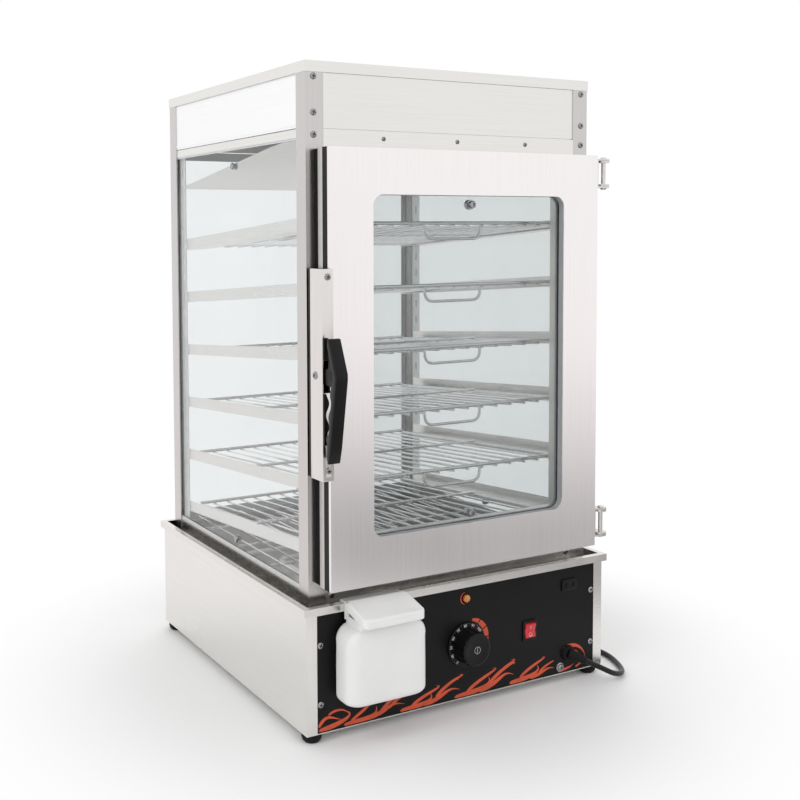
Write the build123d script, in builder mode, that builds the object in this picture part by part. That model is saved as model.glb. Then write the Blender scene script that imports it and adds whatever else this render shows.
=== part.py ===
from build123d import *
import math
import os

os.makedirs("parts", exist_ok=True)

# Bun steamer cabinet. Millimetres, +Z up, the door faces -Y.
# The origin is on the floor under the middle of the cabinet's outer box, cord left out.

# Sheet metal, glass and wire
sheet = 1.2
pane = 4.0
gap = 0.3                 # between pieces that move past each other
play = 0.05               # radial play of a pin in its hole

# Lower housing
base_w = 480.0
foot_h = 12.0
foot_r = 13.0
foot_inset = 14.0
rim_over = 5.0            # the rim stands this far outside the housing
rim_top = 173.8
rim_skirt = 9.8
rim_ring = 8.2
gutter_floor = 162.0
strip_w = 15.0            # bright strips beside the control panel
bottom_flange = 14.0
panel_t = 1.5
panel_sink = 0.8          # panel face behind the strips
pan_bottom = 110.0

# Cabinet on top of the housing
cab_inset = 15.0          # cabinet's side inside the housing's side
cab_shift = 6.5           # the cabinet stands this far behind the housing's centre
leg_w = 25.0
back_leg_w = 13.0
cap_top = 844.5
cap_drop = 13.5
cap_over = 1.0
fascia_down = 81.5        # fascia's lower edge, down from the cap's top
lip_down = 76.0           # side lip, down from the cap's top
strip_down = 92.5         # lower edge over the panes, down from the cap's top
header_down = 124.5       # top of the door opening, down from the cap's top
door_sill = 210.0
side_sill = 186.0
ledge_z = 175.0           # ledge under the fixed panes and the bottom grid
gasket_t = 1.0
upright_w = 20.0
slot_low, slot_pitch = 208.0, 27.4
drip_fall = 55.0          # drip plate's fall from front to back

# Shelves
shelf_zs = (646.0, 564.0, 482.0, 400.0, 317.5, 235.0)
shelf_tilt = 4.2          # degrees, down towards the back
shelf_set = 8.5           # front rod behind the cabinet's face
rod_r = 2.5
wire_r = 1.5
wire_pitch = 24.0
bail_half = 45.0
bail_drop = 21.0
rail_h = 16.0

# Door
door_left_inset = 11.0    # door's free edge inside the cabinet's side
door_right_inset = 14.0
door_bottom = 194.0
door_down = 106.5         # door's top, down from the cap's top
door_t = 38.5             # cabinet face to door front
plate_return = 5.0
rubber_t = 12.0
channel_t = 11.2
seal_t = 10.0
seal_w = 13.0
window_left_margin = 62.0
window_right_margin = 60.0
window_bottom = 254.0
window_down = 57.0        # window's top, down from the door's top
window_r = 14.0
glass_lap = 8.0

# Hinges
hinge_ahead = 34.3        # pin in front of the cabinet's face
hinge_h = 40.0
hinge_up = 31.5           # lower hinge's middle above the door's foot
hinge_down = 24.5         # upper hinge's middle below the door's top
hinge_pin_r = 3.0
hinge_ear_r = 8.0
ear_t = 2.5

# Latch and handle on the door's free edge
cover_bottom = 333.0
cover_top = 591.0
pivot_z = 461.0
pivot_ahead = 21.5        # pivot in front of the cabinet's face
pivot_r = 2.5
slot_half = 20.0
shank_w = 5.4
handle_w = 16.0

# Controls: X from the panel's middle or in from its edge, Z from the floor
knob_x, knob_z = 1.7, 85.0
skirt_r, skirt_t = 30.0, 3.5
grip_r, knob_h = 24.0, 26.0
spindle_r = 3.0
switch_x, switch_z = 109.5, 85.0
bezel_w, bezel_h = 24.5, 28.0
rocker_w, rocker_r = 17.4, 10.6
lamp_x, lamp_z, lamp_r = 1.5, 147.5, 7.0
socket_in, socket_z = 45.5, 138.0
socket_w, socket_h = 26.0, 16.0
earth_in, earth_z = 60.5, 22.0
gland_in, gland_z = 47.0, 40.0

# Water box hung on the rim
box_in = 78.0
box_half = 58.0
box_front = 47.0          # its front, ahead of the housing's face
box_bottom = 54.0
box_shoulder = 150.0
box_wall = 2.0
neck_half = 42.0
neck_back = 5.4
neck_top = 161.0
lid_half = 44.5
lid_front = 59.0
lid_rear = 12.0
lid_axis_ahead = 13.0
lid_axis_z = 174.5
lid_rear_z = 179.5
lid_front_z = 167.5
lid_t = 2.2

# Mains lead
cord_r = 3.75
coil_outer = 49.0
coil_pitch = 8.5
coil_away = 80.0          # coil's middle outside the rim
coil_y = -3.0

# Places that follow from the sizes
rim_w = base_w + 2 * rim_over
cab_w = base_w - 2 * cab_inset
pan_w = cab_w - 70.0
base_y = (base_w / 2 + lid_front - rim_w / 2) / 2
base_front = base_y - base_w / 2
cab_y = base_y + cab_shift
cab_half = cab_w / 2
cab_front = cab_y - cab_half
cab_back = cab_y + cab_half
floor_top = gutter_floor + sheet
panel_front = base_front + panel_sink
panel_back = panel_front + panel_t
panel_half = base_w / 2 - strip_w
panel_low = foot_h + sheet
element_z = pan_bottom + 18.0
socket_x = panel_half - socket_in
earth_x = panel_half - earth_in
gland_x = panel_half - gland_in
box_x = box_in - panel_half
coil_x = rim_w / 2 + coil_away
skin = cab_half - sheet           # outside of the sheets behind the posts' legs
pane_out = skin - sheet - gasket_t
pane_in = pane_out - pane
opening_half = cab_half - leg_w
fascia_bottom = cap_top - fascia_down
lip_z = cap_top - lip_down
strip_bottom = cap_top - strip_down
header_bottom = cap_top - header_down
door_top = cap_top - door_down
window_top = door_top - window_down
hinge_zs = (door_bottom + hinge_up, door_top - hinge_down)
shelf_half_w = cab_half - 33.0
shelf_depth = cab_w - 34.0
wires_each_side = int((shelf_half_w - 12.0) / wire_pitch)
grid_wires_each_side = int((cab_half - 16.0) / wire_pitch)
door_left = door_left_inset - cab_half
door_right = cab_half - door_right_inset
window_left = door_left + window_left_margin
window_right = door_right - window_right_margin
door_front = cab_front - door_t
door_x = (door_left + door_right) / 2
door_z = (door_bottom + door_top) / 2
door_w = door_right - door_left
door_h = door_top - door_bottom
rubber_front = door_front + plate_return
channel_front = rubber_front + rubber_t
channel_back = channel_front + channel_t
window_x = (window_left + window_right) / 2
window_z = (window_bottom + window_top) / 2
window_w = window_right - window_left
window_h = window_top - window_bottom
hinge_x = cab_half
hinge_y = cab_front - hinge_ahead
pivot_y = cab_front - pivot_ahead
flange_front = door_front - sheet
made = []


def at_y(y):
    """Upright plane at depth y, seen from the front: local x is X, local y is Z, extrude goes to -Y."""
    return Plane((0, y, 0), x_dir=(1, 0, 0), z_dir=(0, -1, 0))


def at_x(x):
    """Upright plane across the cabinet: local x is Y, local y is Z, extrude goes to +X."""
    return Plane((x, 0, 0), x_dir=(0, 1, 0), z_dir=(1, 0, 0))


def at_z(z):
    """Level plane: extrude goes up."""
    return Plane.XY.offset(z)


def block(x0, x1, y0, y1, z0, z1, mode=Mode.ADD):
    """Box between two corners, added to the part being built."""
    with Locations(((x0 + x1) / 2, (y0 + y1) / 2, (z0 + z1) / 2)):
        Box(x1 - x0, y1 - y0, z1 - z0, mode=mode)


def save(part, label):
    part.label = label
    export_step(part, f"parts/{label}.step")
    made.append(label)


# Screws: place and the direction in which the head looks
left_out = (-1, 0, 0)
right_out = (1, 0, 0)
front_out = (0, -1, 0)
frame_screw_places = []
for side in (-1, 1):
    for z in (cap_top - 18.9, cap_top - 62.6, cap_top - 89.7):
        frame_screw_places.append((side * (cab_half - 11.0), cab_front, z, front_out))
    for z in (124.0, 49.0):
        frame_screw_places.append((side * (panel_half - 5.0), panel_front, z, front_out))
    frame_screw_places.append((side * (opening_half - 8.0), cab_front, ledge_z + 3.0, front_out))
for x in (-cab_half / 2, 2.0, cab_half / 2 + 2.5):
    frame_screw_places.append((x, cab_front, strip_bottom + 0.5, front_out))
for hz in hinge_zs:
    for dz in (-9.0, 9.0):
        frame_screw_places.append((cab_half + ear_t, cab_front + 8.0, hz + dz, right_out))
door_screw_places = []
for z in (cover_top - 9.5, cover_bottom + 12.7):
    door_screw_places.append((door_left - 3.5, flange_front, z, front_out))
for hz in hinge_zs:
    for dz in (-9.0, 9.0):
        door_screw_places.append((door_right + 2.2, channel_front - 6.0, hz + dz, right_out))
shank_r = 1.6
shank_l = 4.5
head_r = 3.8
head_t = 1.6


def shanks(places):
    """Screw shanks reaching in from each place."""
    with BuildPart() as part:
        for x, y, z, out in places:
            with BuildSketch(Plane((x, y, z), z_dir=out)):
                RegularPolygon(shank_r, 8)
            extrude(amount=-shank_l)
    return part.part


def heads(places):
    """Screw heads standing on each place."""
    with BuildPart() as part:
        for x, y, z, out in places:
            with BuildSketch(Plane((x, y, z), z_dir=out)):
                Circle(head_r)
            extrude(amount=head_t, taper=35)
    return part.part


frame_shanks = shanks(frame_screw_places)
door_shanks = shanks(door_screw_places)

# Lower housing: a folded sheet box with front strips and ledges for the panel
with BuildPart() as base_shell:
    half = base_w / 2
    block(-half, half, base_y - half, base_y + half, foot_h, rim_top - sheet)
    block(-half + sheet, half - sheet, base_front + sheet, base_y + half - sheet,
          foot_h + sheet, rim_top - sheet, mode=Mode.SUBTRACT)
    block(-half + bottom_flange, half - bottom_flange, base_front + bottom_flange,
          base_y + half - bottom_flange, foot_h, foot_h + sheet, mode=Mode.SUBTRACT)
    block(-panel_half, panel_half, base_front, base_front + sheet, panel_low, gutter_floor,
          mode=Mode.SUBTRACT)
    for side in (-1, 1):
        edges = sorted((side * panel_half, side * (panel_half + sheet)))
        block(edges[0], edges[1], base_front, panel_back + sheet, panel_low, gutter_floor)
        edges = sorted((side * (panel_half - 12.0), side * (panel_half + sheet)))
        block(edges[0], edges[1], panel_back, panel_back + sheet, panel_low, gutter_floor)
    add(frame_shanks, mode=Mode.SUBTRACT)
save(base_shell.part, "base_shell")

with BuildPart() as base_plate:
    with BuildSketch(at_z(foot_h + sheet)):
        with Locations((0, base_y + 4.0)):
            Rectangle(base_w - 2 * sheet - 2.0, base_w - 2 * sheet - 12.0)
        with Locations((0, base_y)):
            with GridLocations(60, 160, 5, 2):
                Rectangle(6, 40, mode=Mode.SUBTRACT)
    extrude(amount=1.0)
save(base_plate.part, "base_plate")

with BuildPart() as rubber_feet:
    spread = base_w / 2 - foot_inset
    for fx in (-spread, spread):
        for fy in (base_y - spread, base_y + spread):
            with BuildSketch(Plane((fx, fy, 0), x_dir=(1, 0, 0), z_dir=(0, -1, 0))):
                with BuildLine():
                    Polyline((0, 0), (foot_r - 4, 0), (foot_r - 1, 3), (foot_r, 7),
                             (foot_r, foot_h), (0, foot_h), (0, 0))
                make_face()
            revolve(axis=Axis((fx, fy, 0), (0, 0, 1)))
save(rubber_feet.part, "rubber_feet")

# Rim tray: skirt, ring, inner wall and gutter floor with the opening over the pan
with BuildPart() as gutter_tray:
    half = rim_w / 2
    inner = half - rim_ring
    block(-half, half, base_y - half, base_y + half, rim_top - rim_skirt, rim_top)
    block(-half + sheet, half - sheet, base_y - half + sheet, base_y + half - sheet,
          rim_top - rim_skirt, rim_top - sheet, mode=Mode.SUBTRACT)
    block(-inner - sheet, inner + sheet, base_y - inner - sheet, base_y + inner + sheet,
          gutter_floor, rim_top)
    block(-inner, inner, base_y - inner, base_y + inner, floor_top, rim_top, mode=Mode.SUBTRACT)
    pan_half = pan_w / 2
    block(-pan_half, pan_half, cab_y - pan_half, cab_y + pan_half, gutter_floor, floor_top,
          mode=Mode.SUBTRACT)
save(gutter_tray.part, "gutter_tray")

with BuildPart() as water_pan:
    pan_half = pan_w / 2 - 1.0
    pan_lip = pan_w / 2 + 8.0
    block(-pan_half, pan_half, cab_y - pan_half, cab_y + pan_half, pan_bottom, floor_top + sheet)
    block(-pan_lip, pan_lip, cab_y - pan_lip, cab_y + pan_lip, floor_top, floor_top + sheet)
    block(-pan_half + sheet, pan_half - sheet, cab_y - pan_half + sheet, cab_y + pan_half - sheet,
          pan_bottom + sheet, floor_top + sheet, mode=Mode.SUBTRACT)
    with BuildSketch(at_y(cab_y - pan_half + sheet)):
        with Locations((-40, element_z), (40, element_z)):
            Circle(5.0)
    extrude(amount=sheet, mode=Mode.SUBTRACT)
save(water_pan.part, "water_pan")

with BuildPart() as heating_element:
    legs_y = cab_y - pan_w / 2 - 18.0
    outer = pan_w / 2 - 40.0
    inner = outer - 40.0
    near_y, mid_y, far_y = cab_y - inner, cab_y + inner - 20.0, cab_y + outer - 10.0
    with BuildLine() as element_line:
        FilletPolyline((-40, legs_y, element_z), (-40, mid_y, element_z), (-inner, mid_y, element_z),
                       (-inner, near_y, element_z), (-outer, near_y, element_z),
                       (-outer, far_y, element_z), (outer, far_y, element_z),
                       (outer, near_y, element_z), (inner, near_y, element_z),
                       (inner, mid_y, element_z), (40, mid_y, element_z), (40, legs_y, element_z),
                       radius=18)
    with BuildSketch(at_y(legs_y)):
        with Locations((-40, element_z)):
            Circle(5.0)
    sweep(path=element_line.line)
save(heating_element.part, "heating_element")

with BuildPart() as bottom_grid:
    cross_z = ledge_z + sheet + 2.0
    for row in range(4):
        with BuildSketch(at_x(12.0 - cab_half)):
            with Locations((cab_front + 40.0 + (cab_w - 129.0) / 3 * row, cross_z)):
                RegularPolygon(2.0, 8)
        extrude(amount=cab_w - 24.0)
    for col in range(-grid_wires_each_side, grid_wires_each_side + 1):
        with BuildSketch(at_y(cab_back - 20.0)):
            with Locations((col * wire_pitch, cross_z + 3.1)):
                RegularPolygon(wire_r, 6)
        extrude(amount=cab_w - 36.0)
save(bottom_grid.part, "bottom_grid")

# Corner posts: L sections from the gutter floor up under the top cover
post_top = cap_top - sheet
for name, side, front in (("corner_post_front_left", -1, True), ("corner_post_front_right", 1, True),
                          ("corner_post_back_left", -1, False), ("corner_post_back_right", 1, False)):
    with BuildPart() as post:
        face_w = leg_w if front else back_leg_w
        face_y = cab_front if front else cab_back - sheet
        leg_y = cab_front if front else cab_back - leg_w
        xs = sorted((side * cab_half, side * (cab_half - face_w)))
        block(xs[0], xs[1], face_y, face_y + sheet, floor_top, post_top)
        xs = sorted((side * cab_half, side * skin))
        block(xs[0], xs[1], leg_y, leg_y + leg_w, floor_top, post_top)
        add(frame_shanks, mode=Mode.SUBTRACT)
    save(post.part, name)

with BuildPart() as top_cover:
    half = cab_half + cap_over
    block(-half, half, cab_y - half, cab_y + half, cap_top - cap_drop, cap_top)
    block(-cab_half, cab_half, cab_front, cab_back, cap_top - cap_drop, post_top,
          mode=Mode.SUBTRACT)
save(top_cover.part, "top_cover")

with BuildPart() as drip_plate:
    front_y = cab_front + 2 * sheet
    drip_z = fascia_bottom - 4.0
    with BuildSketch(at_x(10.0 - cab_half)):
        with BuildLine():
            Polyline((front_y, drip_z + 21), (front_y, drip_z + 2), (cab_front + 18, drip_z),
                     (cab_back - 16, drip_z - drip_fall), (cab_back - 16, drip_z - drip_fall + sheet),
                     (cab_front + 18, drip_z + sheet), (front_y + sheet, drip_z + 2 + sheet),
                     (front_y + sheet, drip_z + 21), (front_y, drip_z + 21))
        make_face()
    extrude(amount=cab_w - 20.0)
save(drip_plate.part, "drip_plate")

with BuildPart() as front_fascia:
    block(4.0 - cab_half, cab_half - 4.0, cab_front + sheet, cab_front + 2 * sheet, fascia_bottom, post_top)
    add(frame_shanks, mode=Mode.SUBTRACT)
save(front_fascia.part, "front_fascia")

with BuildPart() as upper_casing:
    block(-skin, skin, cab_front + sheet, cab_back - sheet, fascia_bottom + 1.0, post_top)
    block(-skin - 0.8, skin + 0.8, cab_front + leg_w, cab_back - leg_w, lip_z - 1.5, lip_z + 1.5)
    block(-skin + sheet, skin - sheet, cab_front, cab_back - 2 * sheet,
          fascia_bottom, post_top + 1.0, mode=Mode.SUBTRACT)
save(upper_casing.part, "upper_casing")

# Door opening: header, sill and jamb returns between the front posts
with BuildPart() as front_frame:
    block(-opening_half, opening_half, cab_front, cab_front + sheet, floor_top, fascia_bottom - 1.0)
    block(-opening_half + sheet, opening_half - sheet, cab_front, cab_front + sheet,
          door_sill, header_bottom, mode=Mode.SUBTRACT)
    for side in (-1, 1):
        xs = sorted((side * opening_half, side * (opening_half - sheet)))
        block(xs[0], xs[1], cab_front, cab_front + 5.0, door_sill, header_bottom)
        xs = sorted((side * (opening_half - 12.0), side * (opening_half + 12.0)))
        block(xs[0], xs[1], cab_front + sheet, cab_front + 2 * sheet, strip_bottom - 20.0,
              fascia_bottom - 1.0)
        block(xs[0], xs[1], cab_front + sheet, cab_front + 2 * sheet, floor_top, door_sill)
    add(frame_shanks, mode=Mode.SUBTRACT)
save(front_frame.part, "front_frame")

# Fixed panes: a folded frame behind the posts, a gasket, the pane and its round buttons
frame_top = fascia_bottom
button_zs = (side_sill + 14.0, strip_bottom - 24.0)
button_y = cab_y - 3.5
for name, side in (("left_frame", -1), ("right_frame", 1)):
    with BuildPart() as side_frame:
        xs = sorted((side * skin, side * (skin - sheet)))
        block(xs[0], xs[1], cab_front + sheet, cab_back - 2 * sheet, floor_top, frame_top)
        block(xs[0], xs[1], cab_front + leg_w - 3.0, cab_back - leg_w + 3.0, side_sill, strip_bottom,
              mode=Mode.SUBTRACT)
        xs = sorted((side * skin, side * (cab_half - 20.0)))
        block(xs[0], xs[1], cab_front + 10.0, cab_back - 14.0, ledge_z, ledge_z + sheet)
        add(frame_shanks, mode=Mode.SUBTRACT)
    save(side_frame.part, name)
with BuildPart() as back_frame:
    block(-skin, skin, cab_back - 2 * sheet, cab_back - sheet, floor_top, frame_top)
    block(-skin + 9.0, skin - 9.0, cab_back - 2 * sheet, cab_back - sheet, side_sill, strip_bottom,
          mode=Mode.SUBTRACT)
    block(-pane_out, pane_out, cab_back - 13.5, cab_back - sheet, ledge_z, ledge_z + sheet)
save(back_frame.part, "back_frame")

pane_low = ledge_z + sheet
pane_high = strip_bottom + 6.0
back_pane_out = cab_back - 2 * sheet - gasket_t
for name, side in (("left_glass", -1), ("right_glass", 1)):
    with BuildPart() as side_glass:
        xs = sorted((side * pane_out, side * pane_in))
        block(xs[0], xs[1], cab_front + 10.0, cab_back - 14.0, pane_low, pane_high)
        with BuildSketch(at_x(xs[0])):
            with Locations((button_y, button_zs[0]), (button_y, button_zs[1])):
                RegularPolygon(3.0, 8)
        extrude(amount=pane, mode=Mode.SUBTRACT)
    save(side_glass.part, name)
with BuildPart() as back_glass:
    block(-pane_in + 4.0, pane_in - 4.0, back_pane_out - pane, back_pane_out, pane_low, pane_high)
    with BuildSketch(at_y(back_pane_out)):
        with Locations((0, button_zs[0]), (0, button_zs[1])):
            RegularPolygon(3.0, 8)
    extrude(amount=pane, mode=Mode.SUBTRACT)
save(back_glass.part, "back_glass")

with BuildPart() as pane_gaskets:
    for side in (-1, 1):
        xs = sorted((side * pane_out, side * (pane_out + gasket_t)))
        block(xs[0], xs[1], cab_front + 10.0, cab_back - 14.0, pane_low, pane_high)
        block(xs[0], xs[1], cab_front + leg_w, cab_back - leg_w, side_sill + 2.5, strip_bottom - 2.5,
              mode=Mode.SUBTRACT)
    block(-pane_in + 4.0, pane_in - 4.0, back_pane_out, back_pane_out + gasket_t, pane_low, pane_high)
    block(-pane_in + 12.0, pane_in - 12.0, back_pane_out, back_pane_out + gasket_t,
          side_sill + 2.5, strip_bottom - 2.5, mode=Mode.SUBTRACT)
save(pane_gaskets.part, "pane_gaskets")

with BuildPart() as glass_studs:
    for z in button_zs:
        for side in (-1, 1):
            with BuildSketch(Plane((side * pane_out, button_y, z), z_dir=(side, 0, 0))):
                Circle(5.0)
            extrude(amount=2.2, taper=15)
            with BuildSketch(Plane((side * pane_out, button_y, z), z_dir=(side, 0, 0))):
                RegularPolygon(3.0, 8)
            extrude(amount=-pane)
            with BuildSketch(Plane((side * pane_in, button_y, z), z_dir=(-side, 0, 0))):
                Circle(5.0)
            extrude(amount=1.5)
        with BuildSketch(at_y(back_pane_out)):
            with Locations((0, z)):
                RegularPolygon(3.0, 8)
        extrude(amount=pane)
        with BuildSketch(at_y(back_pane_out + 2.2)):
            with Locations((0, z)):
                Circle(5.0)
        extrude(amount=2.2)
        with BuildSketch(at_y(back_pane_out - pane)):
            with Locations((0, z)):
                Circle(5.0)
        extrude(amount=1.5)
save(glass_studs.part, "glass_studs")

# Rack: slotted uprights against the side panes, and a pair of L rails for each shelf
upright_ys = (cab_front + 6.5 + upright_w / 2, cab_back - 22.5 - upright_w / 2)
with BuildPart() as rack_uprights:
    for side in (-1, 1):
        xs = sorted((side * pane_in, side * (pane_in - sheet)))
        for y in upright_ys:
            low_y = max(y - upright_w / 2, cab_front + 10.0)
            block(xs[0], xs[1], low_y, y + upright_w / 2, pane_low, strip_bottom)
        with BuildSketch(at_x(xs[0])):
            for y in upright_ys:
                for step in range(int((strip_bottom - 6.0 - slot_low) / slot_pitch) + 1):
                    with Locations((y, slot_low + slot_pitch * step)):
                        Rectangle(4.0, 12.0)
        extrude(amount=sheet, mode=Mode.SUBTRACT)
save(rack_uprights.part, "rack_uprights")

tilt = math.radians(shelf_tilt)
slope = Vector(0, math.cos(tilt), -math.sin(tilt))
front_rod_y = cab_front + shelf_set
side_rod_n = -2.9
rail_top_n = side_rod_n - rod_r - gap


with BuildPart() as shelf_rails:
    for z in shelf_zs:
        origin = Vector(0, front_rod_y, z)
        for side in (-1, 1):
            with BuildSketch(Plane(origin + slope * 4.0, x_dir=(1, 0, 0), z_dir=-slope)):
                web_out = side * (pane_in - sheet)
                with BuildLine():
                    Polyline((web_out, rail_top_n - sheet), (web_out, rail_top_n - sheet + rail_h),
                             (web_out - side * sheet, rail_top_n - sheet + rail_h),
                             (web_out - side * sheet, rail_top_n), (side * (shelf_half_w - 6.0), rail_top_n),
                             (side * (shelf_half_w - 6.0), rail_top_n - sheet), (web_out, rail_top_n - sheet))
                make_face()
            extrude(amount=4.0 - shelf_depth)
save(shelf_rails.part, "shelf_rails")

with BuildPart() as shelf:
    with BuildSketch(at_x(-shelf_half_w)):
        with Locations((0, 0), (shelf_depth, 0)):
            RegularPolygon(rod_r, 8)
    extrude(amount=2 * shelf_half_w)
    with BuildSketch(at_x(-shelf_half_w)):
        with Locations((shelf_depth / 2, 0)):
            RegularPolygon(2.0, 8)
    extrude(amount=2 * shelf_half_w)
    with BuildSketch(at_y(shelf_depth + 2.0)):
        for side in (-1, 1):
            with Locations((side * (shelf_half_w - rod_r), side_rod_n)):
                RegularPolygon(rod_r, 8)
        for col in range(-wires_each_side, wires_each_side + 1):
            with Locations((col * wire_pitch, -3.4)):
                RegularPolygon(wire_r, 6)
    extrude(amount=shelf_depth + 6.0)
    with BuildLine() as bail_line:
        FilletPolyline((-bail_half, 0, -0.5), (-bail_half, 0, -bail_drop), (bail_half, 0, -bail_drop),
                       (bail_half, 0, -0.5), radius=14)
    with BuildSketch(Plane((-bail_half, 0, -0.5), z_dir=(0, 0, -1))):
        RegularPolygon(2.0, 8)
    sweep(path=bail_line.line)
for number, z in enumerate(shelf_zs, start=1):
    placed = Location((0, front_rod_y, z), (-shelf_tilt, 0, 0)) * shelf.part
    save(placed, f"shelf_{number}")

# Door: face plate, glazing rubber, glass, channel and seal
with BuildPart() as door_plate:
    with BuildSketch(at_y(door_front + plate_return)):
        with Locations((door_x, door_z)):
            Rectangle(door_w, door_h)
    extrude(amount=plate_return)
    with BuildSketch(at_y(door_front + plate_return)):
        with Locations((door_x, door_z)):
            Rectangle(door_w - 2 * sheet, door_h - 2 * sheet)
    extrude(amount=plate_return - sheet, mode=Mode.SUBTRACT)
    with BuildSketch(at_y(door_front + sheet)):
        with Locations((window_x, window_z)):
            RectangleRounded(window_w, window_h, window_r)
    extrude(amount=sheet, mode=Mode.SUBTRACT)
save(door_plate.part, "door_plate")

glass_back = channel_front - 3.0
glass_front = glass_back - pane
with BuildPart() as door_rubber:
    with BuildSketch(at_y(channel_front)):
        with Locations((door_x, door_z)):
            Rectangle(door_w, door_h)
    extrude(amount=rubber_t)
    with BuildSketch(at_y(rubber_front)):
        with Locations((door_x, door_z)):
            Rectangle(door_w - 2 * sheet, door_h - 2 * sheet)
    extrude(amount=plate_return - sheet)
    with BuildSketch(at_y(channel_front)):
        with Locations((window_x, window_z)):
            RectangleRounded(window_w, window_h, window_r)
    extrude(amount=rubber_t + plate_return, mode=Mode.SUBTRACT)
    with BuildSketch(at_y(glass_back)):
        with Locations((window_x, window_z)):
            Rectangle(window_w + 2 * glass_lap, window_h + 2 * glass_lap)
    extrude(amount=pane, mode=Mode.SUBTRACT)
    add(door_shanks, mode=Mode.SUBTRACT)
save(door_rubber.part, "door_rubber")

stud_places = ((2.0, window_top - 11.5), (2.0, window_bottom + 11.0))
with BuildPart() as door_glass:
    with BuildSketch(at_y(glass_back)):
        with Locations((window_x, window_z)):
            Rectangle(window_w + 2 * glass_lap, window_h + 2 * glass_lap)
        with Locations(*stud_places):
            RegularPolygon(3.0, 8, mode=Mode.SUBTRACT)
    extrude(amount=pane)
save(door_glass.part, "door_glass")

with BuildPart() as door_channel:
    with BuildSketch(at_y(channel_back)):
        with Locations((door_x, door_z)):
            Rectangle(door_w, door_h)
        with Locations((window_x, window_z)):
            Rectangle(window_w, window_h, mode=Mode.SUBTRACT)
    extrude(amount=channel_t)
    with BuildSketch(at_y(channel_back - sheet)):
        with Locations((door_x, door_z)):
            Rectangle(door_w - 2 * sheet, door_h - 2 * sheet)
        with Locations((window_x, window_z)):
            Rectangle(window_w + 2 * sheet, window_h + 2 * sheet, mode=Mode.SUBTRACT)
    extrude(amount=channel_t, mode=Mode.SUBTRACT)
save(door_channel.part, "door_channel")

with BuildPart() as door_seal:
    with BuildSketch(at_y(channel_back + seal_t)):
        with Locations((door_x, door_z)):
            Rectangle(door_w - 2, door_h - 2)
            Rectangle(door_w - 2 - 2 * seal_w, door_h - 2 - 2 * seal_w, mode=Mode.SUBTRACT)
    extrude(amount=seal_t)
save(door_seal.part, "door_seal")

# Hinges: the door's ears outside, the frame's ears inside, one pin through both
ear_gap = ear_t + gap
with BuildPart() as hinge_door_leaves:
    for hz in hinge_zs:
        low, high = hz - hinge_h / 2, hz + hinge_h / 2
        block(door_right, door_right + 2.2, door_front + 1.0, channel_front, low, high)
        for z in (low, high - ear_t):
            with BuildSketch(at_z(z)):
                with Locations((hinge_x, hinge_y)):
                    Circle(hinge_ear_r)
                with BuildLine():
                    Polyline((door_right, hinge_y - 3.0), (hinge_x, hinge_y - hinge_ear_r),
                             (hinge_x, hinge_y + hinge_ear_r), (door_right, channel_front),
                             (door_right, hinge_y - 3.0))
                make_face()
                with Locations((hinge_x, hinge_y)):
                    Circle(hinge_pin_r + play, mode=Mode.SUBTRACT)
            extrude(amount=ear_t)
    add(door_shanks, mode=Mode.SUBTRACT)
save(hinge_door_leaves.part, "hinge_door_leaves")

with BuildPart() as hinge_frame_leaves:
    for hz in hinge_zs:
        low, high = hz - hinge_h / 2 + ear_gap, hz + hinge_h / 2 - ear_gap
        block(cab_half, cab_half + ear_t, cab_front - 17.0, cab_front + 14.0, low, high)
        for z in (low, high - ear_t):
            with BuildSketch(at_z(z)):
                with Locations((hinge_x, hinge_y)):
                    Circle(hinge_ear_r)
                with BuildLine():
                    Polyline((hinge_x - hinge_ear_r, hinge_y), (hinge_x + hinge_ear_r, hinge_y),
                             (cab_half + ear_t, cab_front - 12.0), (cab_half, cab_front - 12.0),
                             (hinge_x - hinge_ear_r, hinge_y))
                make_face()
                with Locations((hinge_x, hinge_y)):
                    Circle(hinge_pin_r, mode=Mode.SUBTRACT)
            extrude(amount=ear_t)
    add(frame_shanks, mode=Mode.SUBTRACT)
save(hinge_frame_leaves.part, "hinge_frame_leaves")

with BuildPart() as hinge_pins:
    for hz in hinge_zs:
        reach = hinge_h / 2 + gap
        with BuildSketch(Plane((hinge_x, hinge_y, hz), x_dir=(1, 0, 0), z_dir=(0, -1, 0))):
            with BuildLine():
                Polyline((0, -reach - 2.4), (3.2, -reach - 1.8), (4.6, -reach), (hinge_pin_r, -reach),
                         (hinge_pin_r, reach), (4.6, reach), (3.2, reach + 1.8), (0, reach + 2.4),
                         (0, -reach - 2.4))
            make_face()
        revolve(axis=Axis((hinge_x, hinge_y, hz), (0, 0, 1)))
save(hinge_pins.part, "hinge_pins")

# Latch on the door's free edge: cover, housing with two cheeks, lever with hub, hook and keeper
cover_side = door_left - 11.2
strip_low, strip_high = 357.0, 508.0
with BuildPart() as latch_cover:
    block(cover_side, cover_side + sheet, flange_front, cab_front - 9.5, cover_bottom, cover_top)
    block(cover_side, door_left + 4.0, flange_front, door_front, cover_bottom, cover_top)
    block(cover_side + sheet, door_left + 4.0, flange_front, door_front, pivot_z - slot_half,
          pivot_z + slot_half, mode=Mode.SUBTRACT)
    with BuildSketch(at_x(cover_side)):
        with Locations((pivot_y, pivot_z)):
            Circle(pivot_r)
    extrude(amount=sheet, mode=Mode.SUBTRACT)
    add(door_shanks, mode=Mode.SUBTRACT)
save(latch_cover.part, "latch_cover")

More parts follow.
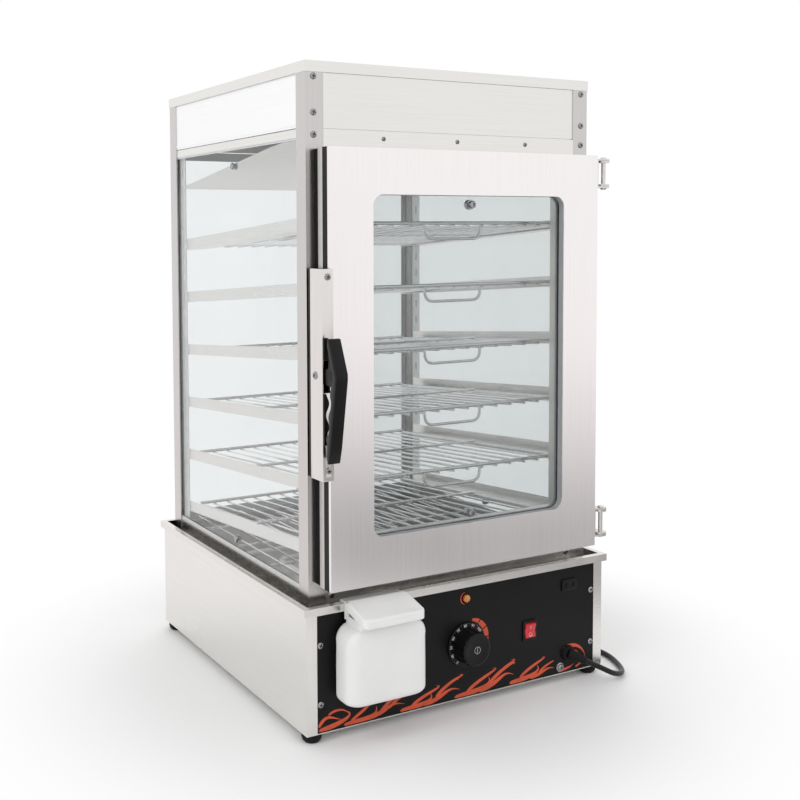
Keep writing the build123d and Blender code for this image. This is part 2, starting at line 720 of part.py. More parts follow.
housing_left = cover_side + sheet
cheek_t = 1.3
with BuildPart() as latch_housing:
    block(housing_left, door_left, door_front, cab_front - 2.0, cover_bottom, cover_top)
    block(housing_left + cheek_t, door_left - 2.2, door_front, cab_front - 2.0,
          pivot_z - slot_half, pivot_z + slot_half, mode=Mode.SUBTRACT)
    with BuildSketch(at_x(housing_left)):
        with Locations((pivot_y, pivot_z)):
            Circle(pivot_r)
    extrude(amount=door_left - housing_left, mode=Mode.SUBTRACT)
    waves = []
    for step in range(9):
        z = strip_high - (strip_high - 375.0) * step / 8
        depth = 4.6 if step % 2 else 3.2
        waves.append((flange_front - depth, z))
    with BuildSketch(at_x(cover_side)):
        with BuildLine():
            Spline(*waves)
            Polyline(waves[-1], (flange_front - 1.6, strip_low), (flange_front, strip_low),
                     (flange_front, strip_high), waves[0])
        make_face()
    extrude(amount=door_left + 4.0 - cover_side)
    block(housing_left + cheek_t, door_left - 2.2, flange_front - 6.0, flange_front,
          pivot_z - slot_half, pivot_z + slot_half, mode=Mode.SUBTRACT)
    add(door_shanks, mode=Mode.SUBTRACT)
save(latch_housing.part, "latch_housing")

shank_x0 = housing_left + cheek_t + gap
shank_x1 = shank_x0 + shank_w
handle_x0 = (shank_x0 + shank_x1) / 2 - handle_w / 2
with BuildPart() as door_handle:
    with BuildSketch(at_x(handle_x0 + 1.0)):
        with BuildLine():
            Spline((pivot_y - 34.5, 508), (pivot_y - 48, 487), (pivot_y - 54, 465),
                   (pivot_y - 51.5, 435), (pivot_y - 45, 405), (pivot_y - 39, 380),
                   (pivot_y - 33.5, 358))
            Polyline((pivot_y - 33.5, 358), (pivot_y - 29.5, 359), (pivot_y - 34, 380),
                     (pivot_y - 39.5, 401))
            Spline((pivot_y - 39.5, 401), (pivot_y - 42.3, 413), (pivot_y - 40.2, 425),
                   (pivot_y - 42.8, 437), (pivot_y - 40.5, 449))
            Polyline((pivot_y - 40.5, 449), (pivot_y - 36, 471), (pivot_y - 32.5, 480),
                     (pivot_y - 31.5, 506), (pivot_y - 34.5, 508))
        make_face()
    extrude(amount=handle_w)
    with BuildSketch(at_x(shank_x0)):
        with Locations((pivot_y, pivot_z)):
            Circle(7.0)
        with BuildLine():
            Polyline((pivot_y, 454.5), (pivot_y - 20, 451.5), (pivot_y - 42, 450), (pivot_y - 42, 471),
                     (pivot_y - 20, 470), (pivot_y, 467.5), (pivot_y, 454.5))
        make_face()
        with Locations((pivot_y, pivot_z)):
            Circle(pivot_r + play, mode=Mode.SUBTRACT)
    extrude(amount=shank_w)
save(door_handle.part, "door_handle")

hook_x0, hook_x1 = shank_x0 + 0.7, shank_x1 - 0.7
keeper_front = cab_front - 8.7
with BuildPart() as latch_hook:
    with BuildSketch(at_x(hook_x0)):
        with BuildLine():
            Polyline((pivot_y + 6.0, 453.5), (cab_front - 3.8, 453.5), (cab_front - 3.8, 459.0),
                     (cab_front - 6.3, 459.0), (cab_front - 6.3, 456.5), (pivot_y + 6.0, 456.5),
                     (pivot_y + 6.0, 453.5))
        make_face()
        with Locations((pivot_y, pivot_z)):
            Circle(7.0, mode=Mode.SUBTRACT)
    extrude(amount=hook_x1 - hook_x0)
save(latch_hook.part, "latch_hook")

with BuildPart() as latch_keeper:
    with BuildSketch(at_x(hook_x0)):
        with BuildLine():
            Polyline((cab_front, 472), (cab_front - 1.8, 472), (cab_front - 1.8, 466),
                     (keeper_front, 466), (keeper_front, 459.5), (keeper_front + 1.4, 459.5),
                     (keeper_front + 1.4, 463), (cab_front, 463), (cab_front, 472))
        make_face()
    extrude(amount=hook_x1 - hook_x0)
save(latch_keeper.part, "latch_keeper")

# Screws, with the pivot screw and the glass studs of the door
with BuildPart() as door_screws:
    add(door_shanks)
    add(heads(door_screw_places))
    with BuildSketch(at_x(cover_side)):
        with Locations((pivot_y, pivot_z)):
            Circle(pivot_r)
    extrude(amount=door_left - cover_side)
    with BuildSketch(Plane((cover_side, pivot_y, pivot_z), z_dir=left_out)):
        Circle(5.0)
    extrude(amount=2.0, taper=25)
    for y, thick, radius in ((glass_back + 1.5, 1.5, 6.5), (glass_back, pane, 3.0),
                             (glass_front, 1.0, 6.5), (glass_front - 1.0, 6.0, 4.5)):
        with BuildSketch(at_y(y)):
            with Locations(*stud_places):
                RegularPolygon(radius, 8 if radius < 4 else 16)
        extrude(amount=thick)
save(door_screws.part, "door_screws")

with BuildPart() as frame_screws:
    add(frame_shanks)
    add(heads(frame_screw_places))
    with BuildSketch(at_y(panel_front)):
        with Locations((earth_x, earth_z)):
            Circle(6.5)
    extrude(amount=1.0)
    with BuildSketch(at_y(panel_front - 1.0)):
        with Locations((earth_x, earth_z)):
            RegularPolygon(4.6, 6)
    extrude(amount=3.2)
    with BuildSketch(at_y(panel_front + 8.0)):
        with Locations((earth_x, earth_z)):
            RegularPolygon(2.0, 8)
    extrude(amount=8.0)
save(frame_screws.part, "frame_screws")

# Control panel and what it carries
switch_hole_w, switch_hole_h = bezel_w - 3.0, bezel_h - 3.0
with BuildPart() as control_panel:
    with BuildSketch(at_y(panel_back)):
        with Locations((0, (panel_low + gutter_floor) / 2)):
            Rectangle(2 * panel_half - 0.6, gutter_floor - panel_low - 0.6)
        with Locations((knob_x, knob_z)):
            Circle(4.5 + play, mode=Mode.SUBTRACT)
        with Locations((lamp_x, lamp_z)):
            Circle(5.0 + play, mode=Mode.SUBTRACT)
        with Locations((switch_x, switch_z)):
            Rectangle(switch_hole_w, switch_hole_h, mode=Mode.SUBTRACT)
        with Locations((socket_x, socket_z)):
            Rectangle(socket_w - 3, socket_h - 3, mode=Mode.SUBTRACT)
        with Locations((gland_x, gland_z)):
            Circle(9.0 + play, mode=Mode.SUBTRACT)
        with Locations((earth_x, earth_z)):
            RegularPolygon(2.0, 8, mode=Mode.SUBTRACT)
    extrude(amount=panel_t)
    add(frame_shanks, mode=Mode.SUBTRACT)
save(control_panel.part, "control_panel")

with BuildPart() as thermostat:
    with BuildSketch(at_y(panel_back + 34.0)):
        with Locations((knob_x, knob_z)):
            Rectangle(40, 34)
    extrude(amount=34.0)
    with BuildSketch(at_y(panel_back)):
        with Locations((knob_x, knob_z)):
            Circle(4.5)
    extrude(amount=panel_t)
    with BuildSketch(at_y(panel_front)):
        with Locations((knob_x, knob_z)):
            Circle(spindle_r)
    extrude(amount=18.0)
save(thermostat.part, "thermostat")

knob_back = panel_front - 0.5
with BuildPart() as thermostat_knob:
    with BuildSketch(at_y(knob_back)):
        with Locations((knob_x, knob_z)):
            Circle(skirt_r)
    extrude(amount=skirt_t - 0.5)
    with BuildSketch(at_y(panel_front - skirt_t)):
        with Locations((knob_x, knob_z)):
            Circle(grip_r)
    extrude(amount=knob_h - skirt_t)
    with BuildSketch(at_y(panel_front - skirt_t)):
        with Locations((knob_x, knob_z)):
            with PolarLocations(grip_r, 12):
                Circle(1.6)
    extrude(amount=knob_h - skirt_t, mode=Mode.SUBTRACT)
    with BuildSketch(at_y(panel_front)):
        with Locations((knob_x, knob_z)):
            Circle(spindle_r + play)
    extrude(amount=18.5, mode=Mode.SUBTRACT)
save(thermostat_knob.part, "thermostat_knob")

pocket_w, pocket_h = rocker_w + 2 * gap, 2 * rocker_r + 2 * gap
rocker_axis_y = panel_front + 1.0
stub_r = 1.5
with BuildPart() as power_switch:
    with BuildSketch(at_y(panel_front)):
        with Locations((switch_x, switch_z)):
            RectangleRounded(bezel_w, bezel_h, 2.5)
    extrude(amount=2.0)
    with BuildSketch(at_y(panel_front + 24.0)):
        with Locations((switch_x, switch_z)):
            Rectangle(switch_hole_w, switch_hole_h)
    extrude(amount=24.0)
    with BuildSketch(at_y(panel_front + 12.5)):
        with Locations((switch_x, switch_z)):
            Rectangle(pocket_w, pocket_h)
    extrude(amount=14.5, mode=Mode.SUBTRACT)
    with BuildSketch(at_x(switch_x - pocket_w / 2 - 1.2)):
        with Locations((rocker_axis_y, switch_z)):
            Circle(stub_r + play)
    extrude(amount=pocket_w + 2.4, mode=Mode.SUBTRACT)
save(power_switch.part, "power_switch")

with BuildPart() as switch_rocker:
    with BuildSketch(at_x(switch_x - rocker_w / 2)):
        with Locations((rocker_axis_y, switch_z)):
            Circle(rocker_r)
        with BuildLine():
            Polyline((rocker_axis_y - 5.0, switch_z - 12), (rocker_axis_y - 3.2, switch_z),
                     (rocker_axis_y - 6.6, switch_z + 12), (rocker_axis_y - 20, switch_z + 12),
                     (rocker_axis_y - 20, switch_z - 12), (rocker_axis_y - 5.0, switch_z - 12))
        make_face(mode=Mode.SUBTRACT)
        with Locations((rocker_axis_y + 12, switch_z)):
            Rectangle(10, 24, mode=Mode.SUBTRACT)
    extrude(amount=rocker_w)
    with BuildSketch(at_x(switch_x - pocket_w / 2 - 1.0)):
        with Locations((rocker_axis_y, switch_z)):
            Circle(stub_r)
    extrude(amount=pocket_w + 2.0)
save(switch_rocker.part, "switch_rocker")

with BuildPart() as indicator_lamp:
    with BuildSketch(Plane((lamp_x, panel_front, lamp_z), x_dir=(1, 0, 0), z_dir=(0, 0, 1))):
        with BuildLine():
            Polyline((0, 22), (5.0, 22), (5.0, 0), (lamp_r, 0), (lamp_r, -1.6), (5.6, -2.2),
                     (4.6, -4.4), (2.5, -5.4), (0, -5.7), (0, 22))
        make_face()
    revolve(axis=Axis((lamp_x, 0, lamp_z), (0, 1, 0)))
save(indicator_lamp.part, "indicator_lamp")

with BuildPart() as outlet_socket:
    with BuildSketch(at_y(panel_front)):
        with Locations((socket_x, socket_z)):
            RectangleRounded(socket_w, socket_h, 2.0)
    extrude(amount=2.2)
    with BuildSketch(at_y(panel_front + 20.0)):
        with Locations((socket_x, socket_z)):
            Rectangle(socket_w - 3, socket_h - 3)
    extrude(amount=20.0)
    with BuildSketch(at_y(panel_front + 14.0)):
        with Locations((socket_x - 6.3, socket_z), (socket_x + 6.3, socket_z)):
            Rectangle(1.8, 7.0)
    extrude(amount=16.2, mode=Mode.SUBTRACT)
save(outlet_socket.part, "outlet_socket")

# Water box: body, neck with a hook over the rim, and ears that carry the lid's pins
body_y0, body_y1 = base_front - box_front, base_front - 1.0
neck_y0, neck_y1 = base_front - box_front, base_front - neck_back
hook_z = rim_top + gap
hook_y = base_y - rim_w / 2 + rim_ring + gap
with BuildPart() as water_box:
    with BuildSketch(at_y(body_y1)):
        with Locations((box_x, (box_bottom + box_shoulder) / 2)):
            RectangleRounded(2 * box_half, box_shoulder - box_bottom, 14)
    extrude(amount=body_y1 - body_y0)
    block(box_x - neck_half, box_x + neck_half, neck_y0, neck_y1, box_shoulder - 20, neck_top)
    with BuildSketch(at_y(body_y1 - box_wall)):
        with Locations((box_x, (box_bottom + box_shoulder) / 2)):
            RectangleRounded(2 * (box_half - box_wall), box_shoulder - box_bottom - 2 * box_wall, 12)
    extrude(amount=body_y1 - body_y0 - 2 * box_wall, mode=Mode.SUBTRACT)
    block(box_x - neck_half + box_wall, box_x + neck_half - box_wall, neck_y0 + box_wall,
          neck_y1 - box_wall, box_shoulder - 10, neck_top, mode=Mode.SUBTRACT)
    block(box_x - neck_half, box_x + neck_half, neck_y1 - box_wall, neck_y1, neck_top, hook_z + 2.4)
    block(box_x - neck_half, box_x + neck_half, neck_y1 - box_wall, hook_y + 2.0, hook_z, hook_z + 2.4)
    block(box_x - neck_half, box_x + neck_half, hook_y, hook_y + 2.0, hook_z - 6.0, hook_z + 2.4)
    axis_y = base_front - lid_axis_ahead
    for side in (-1, 1):
        xs = sorted((box_x + side * neck_half, box_x + side * (neck_half - 3.0)))
        with BuildSketch(at_x(xs[0])):
            with Locations((axis_y, lid_axis_z)):
                Circle(2.2)
            with BuildLine():
                Polyline((axis_y - 2.2, lid_axis_z), (neck_y1 - box_wall, lid_axis_z),
                         (neck_y1 - box_wall, neck_top - 1), (axis_y - 2.2, neck_top - 1),
                         (axis_y - 2.2, lid_axis_z))
            make_face()
        extrude(amount=3.0)
        with BuildSketch(Plane((box_x + side * neck_half, axis_y, lid_axis_z), z_dir=(side, 0, 0))):
            Circle(1.4)
        extrude(amount=lid_half - neck_half - 0.2)
save(water_box.part, "water_box")

lid_y0, lid_y1 = base_front - lid_front, base_front - lid_rear
lid_skirt = 12.0
with BuildPart() as water_box_lid:
    with BuildSketch(at_x(box_x - lid_half)):
        with BuildLine():
            Polyline((lid_y1, lid_rear_z), (lid_y0, lid_front_z), (lid_y0, lid_front_z - lid_skirt),
                     (lid_y1, lid_rear_z - lid_skirt), (lid_y1, lid_rear_z))
        make_face()
    extrude(amount=2 * lid_half)
    with BuildSketch(at_x(box_x - neck_half - gap)):
        with BuildLine():
            Polyline((lid_y1 + 1, lid_rear_z - lid_t), (lid_y0 + lid_t, lid_front_z - lid_t + 0.5),
                     (lid_y0 + lid_t, lid_front_z - lid_skirt - 5), (lid_y1 + 1, lid_rear_z - lid_skirt - 5),
                     (lid_y1 + 1, lid_rear_z - lid_t))
        make_face()
    extrude(amount=2 * (neck_half + gap), mode=Mode.SUBTRACT)
    with BuildSketch(at_x(box_x - lid_half)):
        with Locations((axis_y, lid_axis_z)):
            Circle(1.4 + play)
    extrude(amount=2 * lid_half, mode=Mode.SUBTRACT)
save(water_box_lid.part, "water_box_lid")

# Mains lead: gland with its boot, the loose run, a coil put away beside the cabinet, the plug
boot_tip = Vector(gland_x + 18.0, panel_front - 17.8, gland_z - 9.0)
boot_root = Vector(gland_x, panel_front - 3.0, gland_z)
boot_dir = (boot_tip - boot_root).normalized()
with BuildPart() as cable_gland:
    with BuildSketch(at_y(panel_back + 12.0)):
        with Locations((gland_x, gland_z)):
            Circle(9.0)
    extrude(amount=12.0 + panel_t)
    with BuildSketch(at_y(panel_front)):
        with Locations((gland_x, gland_z)):
            Circle(11.5)
    extrude(amount=5.0, taper=20)
    with BuildSketch(Plane(boot_root, z_dir=boot_dir)):
        Circle(8.0)
    with BuildSketch(Plane(boot_tip, z_dir=boot_dir)):
        Circle(cord_r + 1.3)
    loft()
save(cable_gland.part, "cable_gland")

coil_start = (coil_x - coil_outer, coil_y - 16.0, 4.0)
lead_points = [tuple(boot_tip), tuple(boot_tip + boot_dir * 22.0), (235.0, -249.0, 10.0),
               (260.0, -238.0, 5.0),
               (277.0, -210.0, 4.0), (289.0, -176.0, 4.0), (285.0, -140.0, 4.0),
               (coil_start[0], -105.0, 4.0), coil_start]


def bend_radius(before, corner, after):
    """Largest fillet that leaves both runs some straight: 0.45 of the shorter over tan(half turn)."""
    a, b, c = Vector(before), Vector(corner), Vector(after)
    turn = math.acos(max(-1.0, min(1.0, (b - a).normalized().dot((c - b).normalized()))))
    return 0.45 * min((b - a).length, (c - b).length) / math.tan(turn / 2)


radii = [bend_radius(*lead_points[i:i + 3]) for i in range(len(lead_points) - 2)]
print("bend radii", [round(r, 1) for r in radii])
with BuildPart() as power_cord:
    with BuildLine() as lead_line:
        FilletPolyline(*lead_points, radius=radii)
    with BuildSketch(Plane(lead_points[0], z_dir=lead_line.line % 0)):
        Circle(cord_r)
    sweep(path=lead_line.line)
save(power_cord.part, "power_cord")

layer_turns = 2.0
rise_turns = 0.25
coil_inner = coil_outer - coil_pitch * layer_turns
all_turns = 2 * layer_turns + rise_turns


def coil_point(turns):
    """Clockwise spiral in on the floor, up one lead's height, and out again on top."""
    climbed = max(0.0, min(1.0, (turns - layer_turns) / rise_turns))
    if turns <= layer_turns:
        radius = coil_outer - coil_pitch * turns
    else:
        radius = coil_inner + coil_pitch * max(0.0, turns - layer_turns - rise_turns)
    angle = math.pi - 2 * math.pi * turns
    height = 4.0 + coil_pitch * climbed * climbed * (3 - 2 * climbed)
    return Vector(coil_x + radius * math.cos(angle), coil_y + radius * math.sin(angle), height)


def coil_way(turns):
    """Direction of the coil at a number of turns."""
    step = 1e-4
    before = coil_point(max(0.0, turns - step))
    after = coil_point(min(all_turns, turns + step))
    return (after - before).normalized()


def biarc(p0, t0, p1, t1):
    """Two arcs from p0 along t0 to p1 along t1: their middle points and where they meet."""
    chord, both = p1 - p0, t0 + t1
    a = 2 * (1 - t0.dot(t1))
    b = chord.dot(both)
    if a < 1e-9:
        d = chord.dot(chord) / (2 * b)
    else:
        d = (-b + math.sqrt(b * b + a * chord.dot(chord))) / a
    meet = (p0 + t0 * d + p1 - t1 * d) * 0.5
    mids = []
    for start, corner, end in ((p0, p0 + t0 * d, meet), (meet, p1 - t1 * d, p1)):
        weight = (end - start).length / 2 / d
        mids.append((start + corner * (2 * weight) + end) * (1 / (2 + 2 * weight)))
    return mids[0], meet, mids[1]


steps = int(all_turns * 4)
stops = [all_turns * k / steps for k in range(steps + 1)]
coil_end = coil_point(all_turns) + coil_way(all_turns) * 30.0
with BuildPart() as cord_coil:
    with BuildLine() as coil_line:
        Line(coil_start, coil_point(0))
        for t0, t1 in zip(stops, stops[1:]):
            p0, p1 = coil_point(t0), coil_point(t1)
            mid0, meet, mid1 = biarc(p0, coil_way(t0), p1, coil_way(t1))
            ThreePointArc(p0, mid0, meet)
            ThreePointArc(meet, mid1, p1)
        Line(coil_point(all_turns), coil_end)
    with BuildSketch(Plane(coil_start, z_dir=(0, 1, 0))):
        Circle(cord_r)
    sweep(path=coil_line.line)
save(cord_coil.part, "cord_coil")

samples = [coil_point(all_turns * k / 600) for k in range(601)]
apart = min((samples[i] - samples[j]).length
            for i in range(601) for j in range(i + 60, 601)) - 2 * cord_r
print("coil's least gap to itself", round(apart, 2), "length",
      round(sum(edge.length for edge in coil_line.edges() + lead_line.edges())))

plug_way = coil_way(all_turns)
plug_frame = Plane(coil_end + plug_way * 0.05, x_dir=(0, 0, 1), z_dir=plug_way)
with BuildPart() as power_plug:
    with BuildSketch(plug_frame):
        Circle(cord_r + 1.2)
    with BuildSketch(plug_frame.offset(16)):
        Circle(7.0)
    loft()
    with BuildSketch(plug_frame.offset(16)):
        RectangleRounded(24.0, 26.0, 6)
    extrude(amount=28.0, taper=1)
    with BuildSketch(plug_frame.offset(44)):
        with Locations((0, -6.3), (0, 6.3)):
            Rectangle(6.3, 1.6)
    extrude(amount=16.0)
save(power_plug.part, "power_plug")

print(len(made), "nodes")
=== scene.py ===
import math

import bmesh
import bpy
import numpy as np
from bpy.props import FloatProperty, FloatVectorProperty
from mathutils import Euler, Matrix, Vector


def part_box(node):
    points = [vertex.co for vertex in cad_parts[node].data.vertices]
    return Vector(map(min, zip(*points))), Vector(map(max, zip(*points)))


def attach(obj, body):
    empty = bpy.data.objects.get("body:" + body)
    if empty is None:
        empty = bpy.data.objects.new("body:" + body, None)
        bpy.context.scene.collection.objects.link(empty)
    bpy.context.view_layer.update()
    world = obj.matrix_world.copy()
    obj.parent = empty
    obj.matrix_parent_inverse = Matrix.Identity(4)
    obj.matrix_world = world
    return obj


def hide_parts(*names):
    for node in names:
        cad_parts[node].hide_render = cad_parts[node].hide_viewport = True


bl_info = {
    "name": "Bun steamer cabinet",
    "version": (1, 0, 0),
    "blender": (4, 5, 0),
    "location": "3D View > Sidebar > Steamer",
    "description": "Looks of a glazed bun steamer cabinet around its packed CAD frame",
    "category": "Object",
}

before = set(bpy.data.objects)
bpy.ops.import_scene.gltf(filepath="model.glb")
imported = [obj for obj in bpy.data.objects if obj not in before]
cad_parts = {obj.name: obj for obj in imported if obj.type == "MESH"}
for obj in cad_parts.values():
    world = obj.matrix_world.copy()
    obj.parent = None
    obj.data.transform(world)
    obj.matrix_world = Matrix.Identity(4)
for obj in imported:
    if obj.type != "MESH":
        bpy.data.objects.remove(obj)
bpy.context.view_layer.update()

# Places from the frame, in metres
PANEL_LOW, PANEL_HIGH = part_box("control_panel")
PANEL_Y = PANEL_LOW[1]
CAB_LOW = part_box("corner_post_front_left")[0]
CAB_FRONT = CAB_LOW[1]
CAB_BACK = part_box("corner_post_back_left")[1][1]
CAB_HALF = -CAB_LOW[0]
BASE_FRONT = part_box("base_shell")[0][1]
RIM_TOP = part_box("gutter_tray")[1][2]
HOOK_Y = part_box("gutter_tray")[0][1] + 0.0082 + 0.0003
KNOB_LOW, KNOB_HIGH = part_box("thermostat_knob")
KNOB_X = (KNOB_LOW[0] + KNOB_HIGH[0]) / 2
KNOB_Z = (KNOB_LOW[2] + KNOB_HIGH[2]) / 2
BOX_LOW, BOX_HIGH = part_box("water_box")
BOX_X = (BOX_LOW[0] + BOX_HIGH[0]) / 2
LAMP_LOW, LAMP_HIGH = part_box("indicator_lamp")
LAMP_X = (LAMP_LOW[0] + LAMP_HIGH[0]) / 2
LAMP_Z = (LAMP_LOW[2] + LAMP_HIGH[2]) / 2

# Shelves: front rod heights, tilt and wire sizes
SHELF_FRONT_ZS = (0.646, 0.564, 0.482, 0.400, 0.3175, 0.235)
SHELF_TILT = math.radians(4.2)
SHELF_HALF = 0.192
SHELF_DEPTH = 0.416
FRONT_ROD_Y = CAB_FRONT + 0.0085
WIRE_PITCH = 0.024

# The mains lead's route: the points of its CAD run, then its coil
CORD_D = 0.0075
LEAD_ROUTE = ((0.196, -0.230, 0.031), (0.2128, -0.2436, 0.0225), (0.235, -0.249, 0.010),
              (0.260, -0.238, 0.005), (0.277, -0.210, 0.004), (0.289, -0.176, 0.004),
              (0.285, -0.140, 0.004), (0.276, -0.105, 0.004), (0.276, -0.019, 0.004))
COIL_CENTRE = (0.325, -0.003)
COIL_OUTER = 0.049
COIL_PITCH = 0.0085
COIL_LAYER_TURNS = 2.0
COIL_RISE = 0.25

# Stage floor, in metres: it is lit round the cabinet and plain white beyond the fade. The band is a painted
# reflection: a darker stretch in front of the cabinet that only glossy rays see, given as (place, level)
# along its span.
FLOOR_FADE = (0.32, 0.66)
BAND_WAY = (0.594, -0.804, 0.0)
BAND_SPAN = (0.5, 4.5)
PAINTED_REFLECTION_TONES = ((0.0, 1.0), (0.045, 0.46), (0.125, 0.38), (0.25, 0.60), (0.45, 0.80), (0.7, 0.92), (1.0, 1.0))
BAND_GREEN_BLUE = 0.975      # green and blue beside red


def srgb(code):
    """Linear colour from a hex code as seen on screen."""
    parts = [int(code[i:i + 2], 16) / 255 for i in (1, 3, 5)]
    return tuple(c / 12.92 if c <= 0.04045 else ((c + 0.055) / 1.055) ** 2.4 for c in parts) + (1.0,)


def add(tree, kind, inputs=None, **settings):
    """Add a shader node, set its settings, and set or link its inputs."""
    made = tree.nodes.new(kind)
    for key, value in settings.items():
        setattr(made, key, value)
    for key, value in (inputs or {}).items():
        if isinstance(value, bpy.types.NodeSocket):
            tree.links.new(value, made.inputs[key])
        else:
            made.inputs[key].default_value = value
    return made


def new_material(name):
    """Empty node material with its output."""
    material = bpy.data.materials.new(name)
    material.use_nodes = True
    tree = material.node_tree
    tree.nodes.clear()
    return material, tree, add(tree, "ShaderNodeOutputMaterial")


def coordinates(tree, scale):
    """Object coordinates in metres, scaled along each axis."""
    where = add(tree, "ShaderNodeTexCoord")
    return add(tree, "ShaderNodeMapping", {"Vector": where.outputs["Object"], "Scale": scale}).outputs[0]


def ramp(tree, fac, stops):
    """Colour ramp between (position, colour) stops."""
    made = add(tree, "ShaderNodeValToRGB", {"Fac": fac})
    elements = made.color_ramp.elements
    while len(elements) < len(stops):
        elements.new(0.5)
    for element, (position, colour) in zip(elements, stops):
        element.position = position
        element.color = colour
    return made.outputs["Color"]


def brushed(name, light, dark, rough, grain, strength=0.04, metal=1.0):
    """Brushed sheet: grain (x, y, z) is the number of strokes per metre along each axis."""
    material, tree, out = new_material(name)
    strokes = add(tree, "ShaderNodeTexNoise", {"Vector": coordinates(tree, grain), "Scale": 1.0,
                                               "Detail": 4.0, "Roughness": 0.6}).outputs["Fac"]
    clouds = add(tree, "ShaderNodeTexNoise", {"Vector": coordinates(tree, (3, 3, 3)), "Scale": 1.0,
                                              "Detail": 3.0}).outputs["Fac"]
    colour = ramp(tree, strokes, [(0.3, srgb(dark)), (0.7, srgb(light))])
    span = add(tree, "ShaderNodeMapRange", {"Value": clouds, "From Min": 0.3, "From Max": 0.7,
                                            "To Min": rough - 0.04, "To Max": rough + 0.05})
    fine = add(tree, "ShaderNodeMapRange", {"Value": strokes, "From Min": 0.2, "From Max": 0.8,
                                            "To Min": -0.02, "To Max": 0.02})
    total = add(tree, "ShaderNodeMath", {0: span.outputs[0], 1: fine.outputs[0]}, operation="ADD")
    bump = add(tree, "ShaderNodeBump", {"Height": strokes, "Strength": strength, "Distance": 0.0002})
    shader = add(tree, "ShaderNodeBsdfPrincipled", {
        "Base Color": colour, "Metallic": metal, "Roughness": total.outputs[0],
        "Normal": bump.outputs[0]})
    tree.links.new(shader.outputs[0], out.inputs["Surface"])
    return material


def tray_steel(name, outside, inside):
    """Rim tray: bright outside, and inside its rim a nearly black painted shade, mixed by noise with a
    lighter grey-brown.
    """
    material, tree, out = new_material(name)
    where = add(tree, "ShaderNodeTexCoord").outputs["Object"]
    centred = add(tree, "ShaderNodeVectorMath", {0: where, 1: (0.0, -(CAB_FRONT + CAB_BACK) / 2, 0.0)},
                  operation="ADD").outputs[0]
    away = add(tree, "ShaderNodeSeparateXYZ", {0: add(
        tree, "ShaderNodeVectorMath", {0: centred}, operation="ABSOLUTE").outputs[0]})
    far = add(tree, "ShaderNodeMath", {0: away.outputs["X"], 1: away.outputs["Y"]}, operation="MAXIMUM")
    high = add(tree, "ShaderNodeSeparateXYZ", {0: where}).outputs["Z"]
    within = add(tree, "ShaderNodeMath", {0: far.outputs[0], 1: CAB_HALF + 0.0118}, operation="LESS_THAN")
    below = add(tree, "ShaderNodeMath", {0: high, 1: RIM_TOP - 0.0004}, operation="LESS_THAN")
    # inside the rim and below its top: painted shade
    painted_shade_mask = add(tree, "ShaderNodeMath", {0: within.outputs[0], 1: below.outputs[0]}, operation="MULTIPLY")
    marks = add(tree, "ShaderNodeTexNoise", {"Vector": coordinates(tree, (26, 26, 60)), "Scale": 1.0,
                                             "Detail": 5.0}).outputs["Fac"]
    dark = ramp(tree, marks, [(0.36, srgb(inside)), (0.70, srgb("#6b6560"))])
    shade = add(tree, "ShaderNodeMix", {"Factor": painted_shade_mask.outputs[0], 6: srgb(outside), 7: dark},
                data_type="RGBA")
    span = add(tree, "ShaderNodeMapRange", {"Value": marks, "From Min": 0.3, "From Max": 0.7,
                                            "To Min": 0.20, "To Max": 0.32}).outputs[0]
    shader = add(tree, "ShaderNodeBsdfPrincipled", {"Base Color": shade.outputs[2], "Metallic": 1.0,
                                                    "Roughness": span})
    tree.links.new(shader.outputs[0], out.inputs["Surface"])
    return material


def shell_of(tree, middle, half):
    """1 inside an upright box given by its middle and half sizes, else 0; a half size of None is open."""
    where = add(tree, "ShaderNodeTexCoord").outputs["Object"]
    moved = add(tree, "ShaderNodeVectorMath", {0: where, 1: tuple(-m for m in middle)}, operation="ADD")
    away = add(tree, "ShaderNodeVectorMath", {0: moved.outputs[0]}, operation="ABSOLUTE")
    split = add(tree, "ShaderNodeSeparateXYZ", {0: away.outputs[0]})
    share = None
    for axis, limit in zip("XYZ", half):
        if limit is None:
            continue
        near = add(tree, "ShaderNodeMath", {0: split.outputs[axis], 1: limit},
                   operation="LESS_THAN").outputs[0]
        share = near if share is None else add(tree, "ShaderNodeMath", {0: share, 1: near},
                                               operation="MULTIPLY").outputs[0]
    return share


def two_tone(name, outside, inside, share, rough):
    """Rubber in two tones, mixed by a share worked out in its own tree."""
    material, tree, out = new_material(name)
    tone = add(tree, "ShaderNodeTexNoise", {"Vector": coordinates(tree, (90, 90, 90)), "Scale": 1.0,
                                            "Detail": 3.0}).outputs["Fac"]
    light = ramp(tree, tone, [(0.3, srgb(inside)), (0.7, tuple(c * 0.9 for c in srgb(inside)[:3]) + (1.0,))])
    shade = add(tree, "ShaderNodeMix", {"Factor": share(tree), 6: srgb(outside), 7: light}, data_type="RGBA")
    shader = add(tree, "ShaderNodeBsdfPrincipled", {"Base Color": shade.outputs[2], "Roughness": rough,
                                                    "Specular IOR Level": 0.25})
    tree.links.new(shader.outputs[0], out.inputs["Surface"])
    return material


def glazing_rubber(name, outside, inside):
    """Glazing rubber: black round the door's edge, grey in the window's reveal."""
    low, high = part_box("door_glass")
    middle = tuple((a + b) / 2 for a, b in zip(low, high))
    half = ((high[0] - low[0]) / 2 - 0.0074, None, (high[2] - low[2]) / 2 - 0.0074)
    return two_tone(name, outside, inside, lambda tree: shell_of(tree, middle, half), 0.5)


